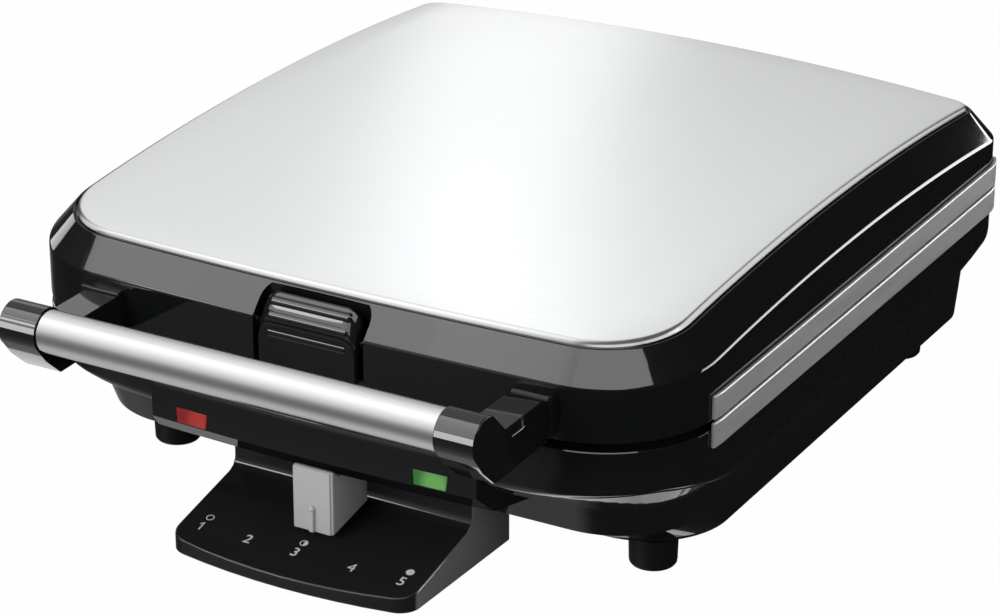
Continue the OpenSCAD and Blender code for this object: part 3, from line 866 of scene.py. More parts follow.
@dataclass
class Lid:
    """Black lid moulding with its crowned steel panel."""

    wall: float = 3.0
    sharp: float = 24.0
    rim_z: float = 71.0
    crown_z: float = 111.9
    shoulder_z: float = 101.2
    arch_y: float = 6.0
    arch_x: float = 3.0
    shoulder_arch_x: float = 3.9
    arch_reach: float = 125.0
    middle_y: float = -1.5
    roll: float = 2.1
    notch_half: float = 22.2
    notch_top: float = 103.0
    notch_r: float = 6.0
    notch_back: float = -143.4
    notch_depth: float = 20.0
    screw_x: float = 87.0
    screw_z: float = 79.0
    screw_r: float = 2.3
    boss_x: float = 86.3
    boss_half: float = 8.1
    boss_front: float = -152.3
    boss_back: float = -143.5
    boss_low: float = 73.0
    boss_high: float = 88.2

    def fall(self, x: float, y: float, arch_x: float) -> float:
        """How far the arched top has fallen at a place."""
        reach = self.arch_reach
        return self.arch_y * ((y - self.middle_y) / reach) ** 2 + arch_x * (x / reach) ** 2

    def crown(self, points: Sequence[Flat], share: float, drop: float) -> Ring:
        """A ring on the crowned top, shrunk towards the middle and dropped below it."""
        ring = []
        for px, py in points:
            x, y = px * share, self.middle_y + (py - self.middle_y) * share
            ring.append((x, y, self.crown_z - self.fall(x, y, self.arch_x) - drop))
        return ring

    def shoulder(self, points: Sequence[Flat], drop: float) -> Ring:
        """A ring at the shoulder over the side walls."""
        z = self.shoulder_z - drop
        return [(x, y, z - self.fall(x, y, self.shoulder_arch_x)) for x, y in points]

    def shell_rings(self) -> list[Ring]:
        """The moulding's rings, outside first and inside last."""
        wall = BODY.points(0.0)
        low, top = self.shoulder(wall, 0.0), self.crown(PANEL.points(0.0), 1.0, 1.4)
        edge = level(wall, self.rim_z)
        rings = rounded(level(BODY.points(0.9), self.rim_z), edge, level(wall, self.rim_z + 0.9), 3)
        rings += [between(edge, low, t) for t in (0.35, 0.7)]
        rings += rounded(self.shoulder(wall, 0.8), low, between(low, top, 0.06), 5)
        rings += [between(low, top, t) for t in (0.35, 0.65)]
        rings += rounded(between(low, top, 0.94), top, self.crown(PANEL.points(0.5), 1.0, 2.0), 3)
        rings += [self.crown(PANEL.points(0.7), 1.0, 2.6), self.crown(PANEL.points(3.0), 1.0, 2.6)]
        rings += [self.crown(PANEL.points(3.0), t, 2.6) for t in (0.8, 0.5, 0.2, 0.05)]
        rings += [self.crown(PANEL.points(3.0), t, 5.2) for t in (0.05, 0.2, 0.5, 0.8, 1.0)]
        rings += [self.shoulder(BODY.points(self.wall), 2.4), level(BODY.points(self.wall), self.rim_z)]
        return rings

    def notch(self) -> bpy.types.Object:
        """The cutter for the latch's notch, with rounded upper corners."""
        half, top, r, y = self.notch_half, self.notch_top, self.notch_r, self.notch_back
        arc = [math.radians(a) for a in range(0, 91, 9)]
        outline = [(-half, y, self.rim_z - 2.0), (half, y, self.rim_z - 2.0)]
        outline += [(half - r + r * math.cos(a), y, top - r + r * math.sin(a)) for a in arc]
        outline += [(-half + r - r * math.sin(a), y, top - r + r * math.cos(a)) for a in arc]
        return Form().extrude(outline, (0.0, -self.notch_depth, 0.0)).cutter()

    def screw_hole(self, side: Side) -> bpy.types.Object:
        """The cutter for the hole of the screw that holds one arm."""
        r, front, back = self.screw_r, self.boss_front - 1.7, self.boss_back + 6.5
        profile = [(0, front), (r, front), (r, back), (0, back)]
        centre = (self.screw_x * side.value, 0.0, self.screw_z)
        return Form().lathe(profile, centre, (0, 1, 0), 24).cutter()

    def build(self, shop: Workshop) -> None:
        """Builds the moulding, with the handle's two pads and the panel on it."""
        rings = self.shell_rings()
        middle = next(i for i, r in enumerate(rings) if r is rings[-7])
        form = Form()
        form.loft(rings[:middle], cap_last=True)
        form.loft(rings[middle:], cap_first=True)
        first, last = form.ring(rings[0]), form.ring(rings[-1])
        bmesh.ops.bridge_loops(form.bm, edges=first + last)
        shell = form.piece("lid_moulding", BLACK_GLOSS, self.sharp)
        carve(shell, [self.notch(), *(self.screw_hole(s) for s in Side)], self.sharp)
        shop.fit(even(shell), Body.LID, BLACK_GLOSS, "lid_shell")
        self.build_bosses(shop)
        self.build_panel(shop)

    def build_bosses(self, shop: Workshop) -> None:
        """Builds the raised pads that the handle's arms stand on."""
        for s in Side:
            x = self.boss_x * s.value
            low = (x - self.boss_half, self.boss_front, self.boss_low)
            high = (x + self.boss_half, self.boss_back, self.boss_high)
            pad = Form().box(low, high).piece(f"handle_boss_{s.tag}", BLACK_GLOSS)
            carve(pad, [self.screw_hole(s)])
            shop.fit(soften(pad, 1.4, 4), Body.LID, BLACK_GLOSS)

    def build_panel(self, shop: Workshop) -> None:
        """Builds the steel sheet with its rolled edge."""
        edge = PANEL.points(1.2)
        flat = PANEL.points(1.2 + self.roll)
        rings = [self.crown(flat, 1.0, 2.3), self.crown(PANEL.points(1.5), 1.0, 2.3)]
        turn = self.crown(PANEL.points(1.2 + 0.3 * self.roll), 1.0, 0.04)
        rings += rounded(self.crown(edge, 1.0, 1.5), turn, self.crown(flat, 1.0, 0.0), 7)
        rings += [self.crown(flat, t, 0.0) for t in (0.9, 0.78, 0.66, 0.54, 0.42, 0.3, 0.18, 0.06)]
        form = Form().loft(rings, cap_last=True)
        under = Form().loft([self.crown(flat, t, 2.3) for t in (1.0, 0.6, 0.2, 0.06)], cap_last=True)
        copied = bpy.data.meshes.new("under")
        under.bm.to_mesh(copied)
        form.bm.from_mesh(copied)
        panel = form.piece("steel_panel", STEEL_PANEL, 40.0)
        bpy.data.meshes.remove(copied)
        under.bm.free()
        shop.fit(panel, Body.LID, STEEL_PANEL, "lid_panel")


@dataclass
class Base:
    """Black base moulding: tub, chamfer, band and side walls."""

    wall: float = 3.0
    bottom_z: float = 12.0
    ledge_z: float = 36.0
    band_z: float = 43.0
    rim_z: float = 68.0
    sharp: float = 20.0
    front_rise: Flat = (55.0, 70.0)
    rear_rise: Flat = (80.0, 56.0)
    band_rise: Flat = (5.3, 8.0)
    ledge_rise: float = 7.0
    foot_r: float = 8.62
    foot_places: tuple[tuple[str, float, float], ...] = (
        ("front_left", -100.5, -88.0), ("front_right", 100.5, -88.0),
        ("rear_left", -103.5, 116.0), ("rear_right", 103.5, 116.0),
    )
    hook_slot: tuple[Point, Point] = ((-13.0, -154.0, 62.2), (13.0, -146.0, 66.0))
    control_bay: tuple[Point, Point] = ((-49.55, -140.0, 11.0), (49.55, -99.3, 36.0))
    window_x: float = 48.5
    cord_hole: Flat = (6.1, 24.0)

    def front_part(self, y: float) -> float:
        """How far a point is towards the front, from 0 to 1."""
        start, reach = self.front_rise
        return min(1.0, max(0.0, (-y - start) / reach)) ** 2

    def rear_part(self, y: float) -> float:
        """How far a point is towards the rear, from 0 to 1."""
        start, reach = self.rear_rise
        return min(1.0, max(0.0, (y - start) / reach)) ** 2

    def band(self, points: Sequence[Flat], drop: float) -> Ring:
        """A ring along the band's lower edge."""
        z, (front, rear) = self.band_z + drop, self.band_rise
        return [(x, y, z + front * self.front_part(y) + rear * self.rear_part(y)) for x, y in points]

    def ledge(self, points: Sequence[Flat], drop: float) -> Ring:
        """A ring along the underside round the tub."""
        return [(x, y, self.ledge_z + self.ledge_rise * self.rear_part(y) + drop) for x, y in points]

    def rings(self) -> list[Ring]:
        """The moulding's rings, outside first and inside last."""
        foot, z = TUB_FOOT.points(0.0), self.bottom_z
        rings = rounded(level(TUB_FOOT.points(0.8), z), level(foot, z), level(foot, z + 1.0), 2)
        rings += [level(TUB_MIDDLE.points(0.0), 24.0), self.ledge(TUB_TOP.points(0.0), 0.0)]
        low = self.band(BAND_LOW.points(0.3), 0.0)
        high = self.band(BAND_HIGH.points(0.0), 2.2)
        wall = BODY.points(0.0)
        rings += rounded(between(low, rings[-1], 0.05), low, between(low, high, 0.25), 2)
        rings += rounded(between(low, high, 0.75), high, between(high, level(wall, 61.0), 0.12), 2)
        rings += [level(wall, 61.0), level(wall, 64.0)]
        rim, t = level(wall, self.rim_z), self.wall
        rings += rounded(level(wall, self.rim_z - 0.9), rim, level(BODY.points(0.9), self.rim_z), 3)
        rings += [level(BODY.points(t), self.rim_z), level(BODY.points(t), 62.0)]
        rings += [self.band(BAND_HIGH.points(t), 3.7), self.band(BAND_LOW.points(t + 0.3), 1.5)]
        rings += [self.ledge(TUB_TOP.points(t), 2.0)]
        rings += [level(TUB_MIDDLE.points(t + 2), 25.0), level(TUB_FOOT.points(t), z)]
        return rings

    def build(self, shop: Workshop) -> None:
        """Builds the moulding with its openings, the feet and the small fasteners."""
        shell = Form().loft(self.rings(), loop=True).piece("base_moulding", BLACK_GLOSS, self.sharp)
        boxes = [self.hook_slot, self.control_bay]
        for x in (s.value * self.window_x for s in Side):
            boxes.append(((x - 8.0, -158.0, 42.0), (x + 8.0, -140.0, 51.5)))
        r, z = self.cord_hole
        cord = Form().lathe([(0, 140), (r, 140), (r, 164), (0, 164)], (0, 0, z), (0, 1, 0), 32)
        carve(shell, [*(Form().box(*b).cutter() for b in boxes), cord.cutter()], self.sharp)
        shop.fit(even(shell), Body.BASE, BLACK_GLOSS, "base_shell")
        self.build_feet(shop)
        self.build_screws(shop)

    def build_feet(self, shop: Workshop) -> None:
        """Builds the four rubber feet, with their rounded lower edge."""
        profile = [(0, 0.35), (5.6, 0.35), (6.2, 0.0), (7.3, 0.0), (8.0, 0.25), (8.5, 0.9)]
        profile += [(self.foot_r, 1.8), (8.9, 11.98), (4.0, 11.98), (4.0, 14.4), (0, 14.4)]
        for name, x, y in self.foot_places:
            foot = Form().lathe(profile, (x, y, 0.0), (0, 0, 1), 72).piece(f"rubber_foot_{name}", RUBBER)
            shop.fit(foot, Body.BASE, RUBBER, f"foot_{name}")

    def build_screws(self, shop: Workshop) -> None:
        """Dresses the screws under the base with rounded heads."""
        for i in range(1, 5):
            screw = shop.copy(f"bottom_screw_{i}", FASTENER)
            shop.fit(soften(screw, 0.12, 2), Body.BASE, FASTENER, f"bottom_screw_{i}")


@dataclass
class Trims:
    """Silver strips round the sides, above and below the seam."""

    round: float = 0.45

    def build(self, shop: Workshop) -> None:
        """Dresses the four strips."""
        for s in Side:
            for part, body in (("base", Body.BASE), ("lid", Body.LID)):
                strip = shop.copy(f"{part}_trim_{s.tag}", TRIM)
                shop.fit(soften(strip, self.round, 2, 40.0), body, TRIM, f"{part}_trim_{s.tag}")


@dataclass
class Handle:
    """Tube between two arms that screw to the lid."""

    tube_r: float = 7.6
    tube_wall: float = 1.2
    tube_half: float = 87.3
    y: float = -193.0
    z: float = 90.0
    cap_r: float = 8.3
    bare_half: float = 78.3
    arm_out: float = 93.5
    boss_y: float = -152.3
    arm_top: float = 87.3
    chamfer: Flat = (1.6, 2.8)

    def arm_outline(self, x: float, top: float) -> Ring:
        """The arm's outline seen from the side.

        Args:
            x: How far out it lies.
            top: Height of the flat part between the tube and the lid.

        Returns:
            The outline.
        """
        angles = [math.radians(208 - 158 * i / 24) for i in range(25)]
        outline = [(x, self.y + self.cap_r * math.cos(a), self.z + self.cap_r * math.sin(a)) for a in angles]
        fall = self.arm_top - top
        outline += [(x, -178.6 + 0.9 * fall, top), (x, self.boss_y - 0.05, top)]
        outline += [(x, self.boss_y - 0.05, 72.6), (x, self.y + 5.8, 72.1), (x, self.y - 2.0, 79.2)]
        return outline

    def build(self, shop: Workshop) -> None:
        """Builds the tube, the arms and the screws."""
        r, h, bore, edge = self.tube_r, self.tube_half, self.tube_r - self.tube_wall, 0.3
        profile = [(bore, -h), (r - edge, -h), (r, edge - h), (r, h - edge), (r - edge, h), (bore, h)]
        profile.append(profile[0])
        tube = Form().lathe(profile, (0.0, self.y, self.z), (1, 0, 0), 128).piece("handle_bar", TUBE)
        shop.fit(tube, Body.LID, TUBE, "handle_tube")
        for s in Side:
            across = ((self.bare_half, self.arm_top), (self.arm_out - self.chamfer[0], self.arm_top))
            across += ((self.arm_out, self.arm_top - self.chamfer[1]),)
            rings = [self.arm_outline(s.value * x, top) for x, top in across]
            arm = Form().loft(rings, cap_first=True, cap_last=True).piece(f"arm_{s.tag}", BLACK_GLOSS)
            socket = [(0, 0), (r + 0.03, 0), (r + 0.03, 10.4), (0, 10.4)]
            centre = (s.value * (self.bare_half - 1.0), self.y, self.z)
            carve(arm, [Form().lathe(socket, centre, (s.value, 0, 0), 96).cutter()])
            shop.fit(soften(arm, 1.0, 4, 26.0), Body.LID, BLACK_GLOSS, f"handle_arm_{s.tag}")
            screw = shop.copy(f"handle_screw_{s.tag}", FASTENER)
            shop.fit(screw, Body.LID, FASTENER, f"handle_screw_{s.tag}")


@dataclass
class Latch:
    """Ribbed latch plate in the lid's notch, with its pivot barrel and hook."""

    half: float = 19.4
    face_y0: float = -153.4
    back_y: float = -150.2
    foot_z: float = 76.0
    pivot_y: float = -146.0
    pivot_z: float = 88.0
    barrel: Flat = (1.55, 3.5)
    barrel_half: float = 17.0
    corner: float = 6.0
    hook_half: float = 12.0
    rib_r: float = 2.3
    rib_z: tuple[float, ...] = (97.9, 93.4, 87.8)
    face: tuple[Flat, ...] = (
        (0.0, 76.0), (0.0, 87.0), (0.15, 90.2), (0.6, 92.8), (1.3, 94.9), (2.2, 96.8), (3.3, 98.6),
        (4.4, 100.0), (5.4, 101.0), (6.2, 101.3),
    )

    def stations(self) -> list[float]:
        """Places across the plate, closer together round its two corners."""
        steps = [self.half - self.corner * (1 - math.cos(math.radians(a))) for a in range(0, 91, 15)]
        return [-x for x in steps] + list(reversed(steps))

    def section(self, x: float) -> Ring:
        """The plate's profile at one place: a face that leans back like the lid's front band."""
        f, b = self.face_y0, self.back_y
        past = max(0.0, abs(x) - (self.half - self.corner))
        drop = self.corner - math.sqrt(max(0.0, self.corner**2 - past**2))
        face = [(f + out, z) for out, z in self.face]
        back = [(f + 6.6, 100.6), (f + 6.4, 97.0), (b + 0.4, 93.0), (b, 90.0), (b, self.foot_z)]
        return [(x, y, z - drop * min(1.0, (z - self.foot_z) / 20.0)) for y, z in face + back]

    def face_y(self, z: float) -> float:
        """How far forward the face stands at a height."""
        for (first, low), (last, high) in zip(self.face, self.face[1:]):
            if low <= z <= high:
                return self.face_y0 + first + (last - first) * (z - low) / (high - low)
        return self.face_y0

    def build(self, shop: Workshop) -> None:
        """Builds the plate with rounded corners, its ribs, the barrel and the hook."""
        f, b = self.face_y0, self.back_y
        plate = Form().loft([self.section(x) for x in self.stations()], cap_first=True, cap_last=True)
        hook = [(f + 0.1, 76.5), (b, 76.5), (-152.9, 69.4), (-152.9, 65.6), (-151.0, 65.6), (-151.0, 64.0)]
        hook += [(-152.0, 63.0), (-156.0, 63.0), (-156.0, 66.5)]
        plate.extrude([(-self.hook_half, y, z) for y, z in hook], (2 * self.hook_half, 0, 0))
        y, h = self.pivot_y, self.barrel_half
        arm = [(b - 0.4, 91.0), (y, 91.4), (y, 84.6), (b - 0.4, 84.0)]
        plate.extrude([(-h, y, z) for y, z in arm], (2 * h, 0, 0))
        bore, r = self.barrel
        profile = [(bore, -h), (r, -h), (r, h), (bore, h), (bore, -h)]
        plate.lathe(profile, (0.0, y, self.pivot_z), (1, 0, 0), 48)
        plate = soften(plate.piece("latch_plate", BLACK_GLOSS), 0.9, 4, 40.0)
        shop.fit(plate, Body.LATCH, BLACK_GLOSS, "latch")
        r, end = self.rib_r, self.half - 3.2
        profile = [(0, -end), (r - 0.6, -end), (r, 0.9 - end), (r, end - 0.9), (r - 0.6, end), (0, end)]
        for i, z in enumerate(self.rib_z):
            rib = Form().lathe(profile, (0, self.face_y(z) + 2.0, z), (1, 0, 0), 40)
            shop.fit(rib.piece(f"latch_rib_{i + 1}", BLACK_GLOSS), Body.LATCH, BLACK_GLOSS)


@dataclass
class Hinges:
    """Knuckles and pins at the rear."""

    def build(self, shop: Workshop) -> None:
        """Dresses the brackets, the lid's lugs and the pins."""
        for s in Side:
            bracket = shop.copy(f"hinge_bracket_{s.tag}", BLACK_SATIN)
            shop.fit(soften(bracket, 0.4, 2, 45.0), Body.BASE, BLACK_SATIN, f"hinge_bracket_{s.tag}")
            lug = shop.copy(f"lid_lug_{s.tag}", BLACK_SATIN)
            shop.fit(soften(lug, 0.4, 2, 45.0), Body.LID, BLACK_SATIN, f"lid_lug_{s.tag}")
            pin = shop.copy(f"hinge_pin_{s.tag}", FASTENER)
            shop.fit(soften(pin, 0.25, 2, 45.0), Body.BASE, FASTENER, f"hinge_pin_{s.tag}")


@dataclass
class Controls:
    """Lamp housing, scale pad, sliding knob and the printed scale."""

    pad_front_y: float = -165.0
    pad_front_z: float = 9.3
    tilt: float = 0.2135
    digit: float = 6.2
    stroke: float = 0.04
    fine_stroke: float = -0.01
    digit_y: float = -162.6
    icon_y: float = -155.4
    places: tuple[float, ...] = (-40.8, -21.2, -1.7, 21.4, 41.4)
    lift: float = 0.03
    ink: float = 0.02
    figure_1: tuple[Flat, ...] = (
        (-0.28, 0.0), (0.28, 0.0), (0.28, 4.3), (-0.2, 4.3), (-1.25, 3.3), (-1.25, 2.75), (-0.28, 3.55),
    )
    icon_r: float = 1.55
    icons: tuple[tuple[str, int, float], ...] = (("open", 0, 1.17), ("half", 2, 1.2), ("full", 4, 0.0))
    knob_side: tuple[Flat, ...] = (
        (-151.2, 14.6), (-151.2, 38.9), (-149.6, 38.9), (-147.2, 36.3), (-128.6, 36.3), (-128.6, 18.6),
    )

    def on_pad(self, x: float, y: float) -> Matrix:
        """The place and tilt of a print on the pad, in millimetres."""
        turn = Matrix.Rotation(math.atan(self.tilt), 4, "X")
        z = self.pad_front_z + (y - self.pad_front_y) * self.tilt
        return Matrix.Translation((x, y, z + self.lift)) @ turn

    @staticmethod
    def fit_unmirrored(
        piece: bpy.types.Object, body: Body, finish: Finish, shop: Workshop, *replaced: str
    ) -> None:
        """Fits a piece that the gloss round it doesn't mirror."""
        shop.fit(piece, body, finish, *replaced).visible_glossy = False

    def printed(self, name: str, bm: bmesh.types.BMesh, place: Matrix, shop: Workshop) -> None:
        """Lays a thin print on the pad."""
        bmesh.ops.transform(bm, matrix=TO_FRAME @ place, verts=bm.verts)
        self.fit_unmirrored(stand(name, bm, PRINT.material()), Body.BASE, PRINT, shop)

    def figure(self, text: str) -> bmesh.types.BMesh:
        """One figure of the scale in relief, in millimetres."""
        curve = bpy.data.curves.new("figure", "FONT")
        curve.body = text
        curve.size = self.digit
        curve.align_x = "CENTER"
        curve.offset = self.fine_stroke if text == "4" else self.stroke
        curve.extrude = self.ink
        holder = bpy.data.objects.new("figure", curve)
        bpy.context.scene.collection.objects.link(holder)
        bpy.context.view_layer.update()
        graph = bpy.context.evaluated_depsgraph_get()
        flat = bpy.data.meshes.new_from_object(holder.evaluated_get(graph))
        bm = bmesh.new()
        bm.from_mesh(flat)
        bpy.data.objects.remove(holder)
        bpy.data.meshes.remove(flat)
        return bm

    def build_digits(self, shop: Workshop) -> None:
        """Prints the scale's figures: a plain stroke for the 1, and the font's for the others."""
        one = bmesh.new()
        one.faces.new([one.verts.new((x, y, self.ink)) for x, y in self.figure_1])
        self.printed("scale_figure_1", one, self.on_pad(self.places[0], self.digit_y), shop)
        for text, x in zip("2345", self.places[1:]):
            self.printed(f"scale_figure_{text}", self.figure(text), self.on_pad(x, self.digit_y), shop)

    def build_icons(self, shop: Workshop) -> None:
        """Prints the open, half and full circles over 1, 3 and 5."""
        thick, r = 2 * self.ink, self.icon_r
        for name, place, inner in self.icons:
            bm = bmesh.new()
            profile = [(inner, 0.0, 0.0), (r, 0.0, 0.0), (r, 0.0, thick), (inner, 0.0, thick)]
            full_turn(bm, profile, (0, 0, 0), (0, 0, 1), 40, closed=True)
            if name == "half":
                arc = [math.radians(-90 + 180 * i / 20) for i in range(21)]
                top, reach = thick + 0.005, r - 0.25
                bm.faces.new([bm.verts.new((reach * math.cos(a), reach * math.sin(a), top)) for a in arc])
            bmesh.ops.remove_doubles(bm, verts=bm.verts, dist=1e-5)
            bmesh.ops.recalc_face_normals(bm, faces=bm.faces)
            self.printed(f"scale_circle_{name}", bm, self.on_pad(self.places[place] + 0.3, self.icon_y), shop)

    def build_knob(self, shop: Workshop) -> None:
        """Builds the sliding knob: block, face plate and pointer rib."""
        block = Form().extrude([(-7.9, y, z) for y, z in self.knob_side], (16.15, 0, 0))
        block.box((-3.0, -129.0, 31.6), (3.0, -121.4, 35.6))
        block = soften(block.piece("knob_block", KNOB), 0.55, 3, 34.0)
        self.fit_unmirrored(block, Body.SLIDER, KNOB, shop, "slider_knob")
        plate = Form().box((-7.8, -151.75, 14.7), (7.35, -150.9, 38.6)).piece("knob_face", KNOB)
        self.fit_unmirrored(soften(plate, 0.28, 2), Body.SLIDER, KNOB, shop)
        rib = Form().box((-0.95, -152.9, 14.8), (0.95, -151.5, 23.2))
        ball = bmesh.ops.create_uvsphere(rib.bm, u_segments=20, v_segments=12, radius=1.35)
        bmesh.ops.translate(rib.bm, verts=ball["verts"], vec=(0.0, -151.9, 23.5))
        self.fit_unmirrored(soften(rib.piece("knob_pointer", KNOB), 0.3, 2, 50.0), Body.SLIDER, KNOB, shop)

    def build(self, shop: Workshop) -> None:
        """Dresses the controls and prints the scale."""
        pad = shop.copy("control_pad", BLACK_PAD)
        shop.fit(soften(pad, 0.6, 3, 34.0), Body.BASE, BLACK_PAD, "control_pad")
        housing = shop.copy("control_housing", BLACK_GLOSS)
        shop.fit(soften(housing, 0.8, 4, 34.0), Body.BASE, BLACK_GLOSS, "control_housing")
        self.build_knob(shop)
        for name, finish in (("red_lens", RED_LENS), ("green_lens", GREEN_LENS)):
            lens = shop.copy(name, finish)
            shop.fit(soften(lens, 0.3, 3, 34.0), Body.BASE, finish, name)
        self.build_digits(shop)
        self.build_icons(shop)


# ---------------------------------------------------------------------------
# Studio
# ---------------------------------------------------------------------------


@dataclass
class Studio:
    """Floor, world, lamps and camera."""

    eye: Point = (0.61235, -1.07533, 0.60107)
    right: Point = (0.86872, 0.49531, 0.0)
    up: Point = (-0.20201, 0.35431, 0.91305)
    back: Point = (0.45224, -0.79318, 0.40785)
    lens: float = 130.72
    middle: Point = (0.0, 0.0, 0.07)
    front_room: tuple[Flat, ...] = (
        (0.0, 0.36), (0.09, 0.34), (0.15, 0.25), (0.22, 0.15), (0.31, 0.11), (0.38, 0.12), (0.46, 0.16),
        (0.52, 0.23), (0.57, 0.32), (0.65, 0.48), (0.75, 0.62), (0.85, 0.8), (0.93, 1.0), (1.0, 0.95),
    )
    back_room: tuple[Flat, ...] = (
        (0.0, 0.36), (0.1, 0.33), (0.2, 0.2), (0.35, 0.14), (0.5, 0.2), (0.62, 0.28), (0.75, 0.38),
        (0.9, 0.6), (1.0, 0.95),
    )
    room_turn: Flat = (-0.12, 0.12)
    right_dim: tuple[float, ...] = (-0.36, -0.08, 1.4, 0.11)
    far_left_dim: tuple[float, ...] = (-0.85, -0.66, 0.14, 1.0)
    floor_size: float = 6.0
    floor_drop: float = 0.0002
    floor_glow: float = 0.985

    def build(self, shop: Workshop) -> None:
        """Sets up everything round the object.

        Args:
            shop: The finished pieces, so that a lamp can be kept to some of them.
        """
        bpy.context.scene.view_settings.view_transform = "Standard"
        self.build_camera()
        self.build_world()
        self.build_floor()
        self.build_lamps(shop)

    def build_camera(self) -> None:
        """Places the camera."""
        camera = bpy.data.cameras.new("camera")
        camera.lens = self.lens
        camera.sensor_width = 36.0
        camera.clip_start = 0.05
        holder = bpy.data.objects.new("camera", camera)
        bpy.context.scene.collection.objects.link(holder)
        turn = Matrix((self.right, self.up, self.back)).transposed().to_4x4()
        holder.matrix_world = Matrix.Translation(self.eye) @ turn
        bpy.context.scene.camera = holder

    def build_world(self) -> None:
        """White to the eye; for the object a soft room, bright above and dim at the right and far left."""
        world = bpy.data.worlds.new("studio")
        bpy.context.scene.world = world
        world.use_nodes = True
        g = Graph(world.node_tree)
        x, y, z = g.axes(g.node("ShaderNodeTexCoord").outputs["Generated"])
        height = z * 0.5 + 0.5
        front = g.node("ShaderNodeValToRGB", {"stops": self.front_room}, {"Fac": height})
        back = g.node("ShaderNodeValToRGB", {"stops": self.back_room}, {"Fac": height})
        turned = g.span(y, *self.room_turn)
        room = Signal(g, front.outputs[0]) * (1.0 - turned) + Signal(g, back.outputs[0]) * turned
        lit = room * g.span(x, *self.right_dim) * g.span(x, *self.far_left_dim)
        seen = Signal(g, g.node("ShaderNodeLightPath").outputs["Is Camera Ray"])
        strength = lit * (1.0 - seen) + seen
        shader = g.node("ShaderNodeBackground", None, {"Color": (1.0, 1.0, 1.0, 1.0), "Strength": strength})
        g.node("ShaderNodeOutputWorld", None, {"Surface": shader.outputs[0]})

    def build_floor(self) -> None:
        """A plain pale floor that keeps a faint shadow."""
        material = bpy.data.materials.new("floor")
        material.use_nodes = True
        g = Graph(material.node_tree)
        path = g.node("ShaderNodeLightPath")
        camera = Signal(g, path.outputs["Is Camera Ray"])
        glossy = Signal(g, path.outputs["Is Glossy Ray"])
        through = Signal(g, path.outputs["Is Transmission Ray"])
        share = (camera + through).at_most(1.0) * self.floor_glow
        matte = g.node("ShaderNodeBsdfDiffuse", None, {"Color": (0.8, 0.8, 0.8, 1.0)})
        glow = g.node("ShaderNodeEmission", None, {"Color": (1.0, 1.0, 1.0, 1.0), "Strength": 1.0})
        pale = g.node("ShaderNodeMixShader", None, {0: share, 1: matte.outputs[0], 2: glow.outputs[0]})
        clear = g.node("ShaderNodeBsdfTransparent")
        both = g.node("ShaderNodeMixShader", None, {0: glossy, 1: pale.outputs[0], 2: clear.outputs[0]})
        g.node("ShaderNodeOutputMaterial", None, {"Surface": both.outputs[0]})
        bm = bmesh.new()
        bmesh.ops.create_grid(bm, x_segments=1, y_segments=1, size=self.floor_size)
        floor = stand("floor", bm, material)
        floor.location = (0.0, 0.0, -self.floor_drop)

    def lamp(
        self,
        name: str,
        at: Point,
        size: Flat,
        radiance: float,
        seen_by: Optional[list[bpy.types.Object]] = None,
        facing: Optional[Point] = None,
        roll: float = 0.0,
    ) -> None:
        """Adds a soft box.

        Args:
            name: The lamp's name.
            at: Its place in metres.
            size: Width and height in metres.
            radiance: Brightness of its face, where 1 is white.
            seen_by: The pieces whose gloss mirrors it, or none for a lamp that only lights matt surfaces.
            facing: Direction that its face looks in, or none to face the object.
            roll: Turn about that direction in degrees.
        """
        data = bpy.data.lights.new(name, "AREA")
        data.shape = "RECTANGLE"
        data.size, data.size_y = size
        data.energy = radiance * math.pi * size[0] * size[1]
        lamp = bpy.data.objects.new(name, data)
        bpy.context.scene.collection.objects.link(lamp)
        back = -Vector(facing) if facing else Vector(at) - Vector(self.middle)
        lamp.location = at
        turn = back.to_track_quat("Z", "Y").to_matrix().to_4x4() @ Matrix.Rotation(math.radians(roll), 4, "Z")
        lamp.rotation_euler = turn.to_euler()
        lamp.visible_camera = False
        lamp.visible_glossy = seen_by is not None
        lamp.visible_diffuse = seen_by is None
        if seen_by is not None:
            group = bpy.data.collections.new(f"{name}_group")
            for piece in seen_by:
                group.objects.link(piece)
            lamp.light_linking.receiver_collection = group

    def build_lamps(self, shop: Workshop) -> None:
        """Adds the soft boxes: each finish has its own, as a studio would flag them off."""
        black = shop.made_of(BLACK_GLOSS, BLACK_PAD)
        arms = [piece for piece in black if piece.name.startswith("arm_")]
        base = [piece for piece in black if piece.name == "base_moulding"]
        latch = [piece for piece in black if piece.name.startswith("latch_")]
        bodies = [piece for piece in black if not piece.name.startswith(("arm_", "handle_boss"))]
        steel, trims = shop.made_of(STEEL_PANEL), shop.made_of(TRIM)
        metals = shop.made_of(STEEL_PANEL, TUBE, TRIM)
        plates = [shop.nodes[node] for node in NODE_FINISH[PLATE]]
        down, up, ahead = (0.0, 0.0, -1.0), (0.0, 0.0, 1.0), (0.0, 1.0, 0.0)
        # What the black mouldings mirror
        self.lamp("ceiling_left", (-1.865, -1.19, 2.0), (1.93, 1.42), 2.9, bodies + arms, down)
        self.lamp("ceiling_middle", (-0.5, -1.19, 2.0), (0.8, 1.42), 3.3, bodies + arms, down)
        self.lamp("ceiling_right", (0.835, -1.19, 2.0), (1.87, 1.42), 3.75, bodies + arms, down)
        self.lamp("rear_strip", (1.28, 1.54, 0.07), (2.0, 0.9), 8.0, bodies)
        self.lamp("trim_strip", (1.14, 1.64, 0.07), (1.5, 0.9), 4.0, trims)
        self.lamp("edge_strip", (-1.14, -1.40, 0.97), (0.6, 0.25), 9.0, black)
        self.lamp("left_box", (-1.98, 0.55, 0.24), (0.45, 0.5), 2.8, bodies)
        self.lamp("floor_glow", (-0.45, 0.70, -1.5), (0.65, 1.2), 0.7, base, up)
        self.lamp("floor_glow_right", (-0.02, 0.68, -1.5), (0.21, 0.92), 0.85, base, up)
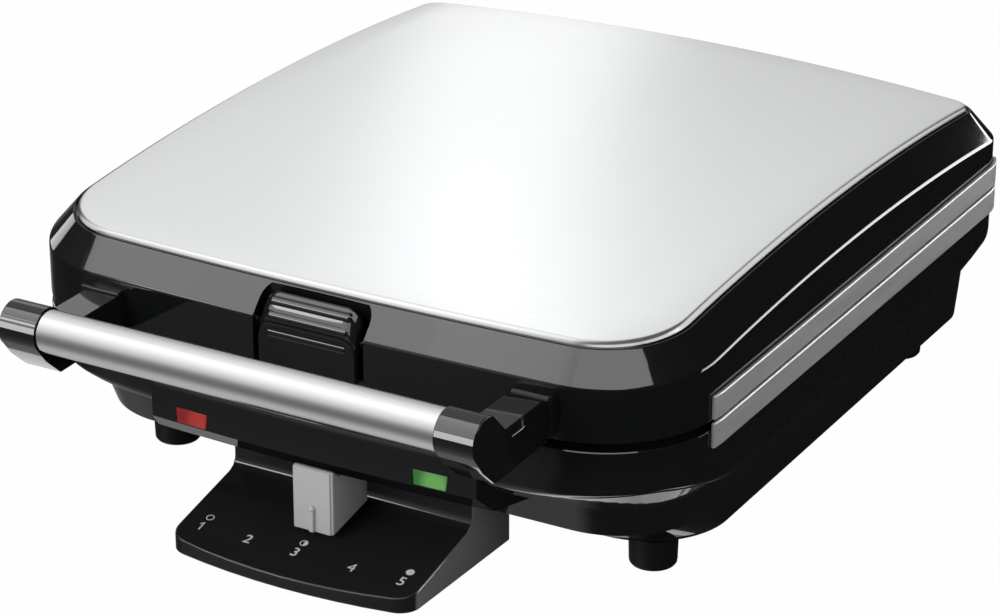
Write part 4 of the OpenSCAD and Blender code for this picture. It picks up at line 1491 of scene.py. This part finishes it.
        # What the handle's ends, the arms and the latch mirror
        self.lamp("cap_wall", (-1.4, -2.2, 0.31), (2.4, 1.02), 11.0, arms, ahead)
        self.lamp("cap_cove", (-1.0, -1.80, 1.18), (2.6, 0.97), 2.9, arms + latch)
        self.lamp("cap_top", (-0.95, -0.24, 2.0), (2.6, 0.48), 3.3, arms, down)
        self.lamp("arm_line", (1.28, 1.54, -0.21), (2.0, 0.2), 8.0, arms)
        self.lamp("arm_low", (-1.0, 0.72, -1.5), (1.1, 0.6), 1.2, arms, up)
        self.lamp("arm_back", (-1.3, 1.5, 1.0), (0.7, 0.7), 0.8, arms[:1])
        # The seam, and the sheen across the steel
        self.lamp("seam_strip", (1.5, -0.9, 0.25), (3.0, 0.25), 2.0, base)
        self.lamp("panel_wide", (-1.40, 2.40, 1.25), (3.4, 2.6), 0.31, steel)
        self.lamp("panel_core", (-1.42, 2.45, 1.20), (0.34, 3.6), 0.46, steel, roll=-8.0)
        # The room round the metals, seen from the sides and the rear
        self.lamp("room_front", (1.7, -2.3, 1.5), (3.2, 2.4), 0.7, metals)
        self.lamp("room_right", (2.9, 0.3, 1.3), (2.6, 2.2), 0.7, metals)
        self.lamp("room_rear", (1.9, 2.3, 1.5), (3.0, 2.4), 0.7, metals)
        self.lamp("room_left", (-2.9, -0.4, 1.2), (2.0, 2.0), 0.6, steel)
        # The open waffle plates
        self.lamp("plate_front", (-0.4, -2.4, 1.2), (2.6, 1.8), 2.4, plates)
        self.lamp("plate_rear", (-0.5, 2.2, 1.6), (2.6, 1.4), 2.4, plates)
        # Soft light on every matt surface
        self.lamp("fill_left", (-0.7, -1.8, 0.8), (1.2, 1.2), 3.6)
        self.lamp("fill_right", (1.6, -0.5, 0.9), (1.2, 1.2), 1.6)


def main() -> None:
    """Builds the waffle maker round its solids, then the studio."""
    logging.basicConfig(level=logging.INFO, format="%(name)s: %(message)s")
    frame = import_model()
    shop = Workshop(frame["nodes"])
    for finish, nodes in NODE_FINISH.items():
        shop.paint(finish, *nodes)
    for assembly in (Base(), Lid(), Trims(), Handle(), Latch(), Hinges(), Controls()):
        assembly.build(shop)
        LOG.info("%s built", type(assembly).__name__)
    LOG.info("%d pieces", shop.count)
    Studio().build(shop)
    bpy.context.view_layer.update()


if __name__ == "__main__":
    main()
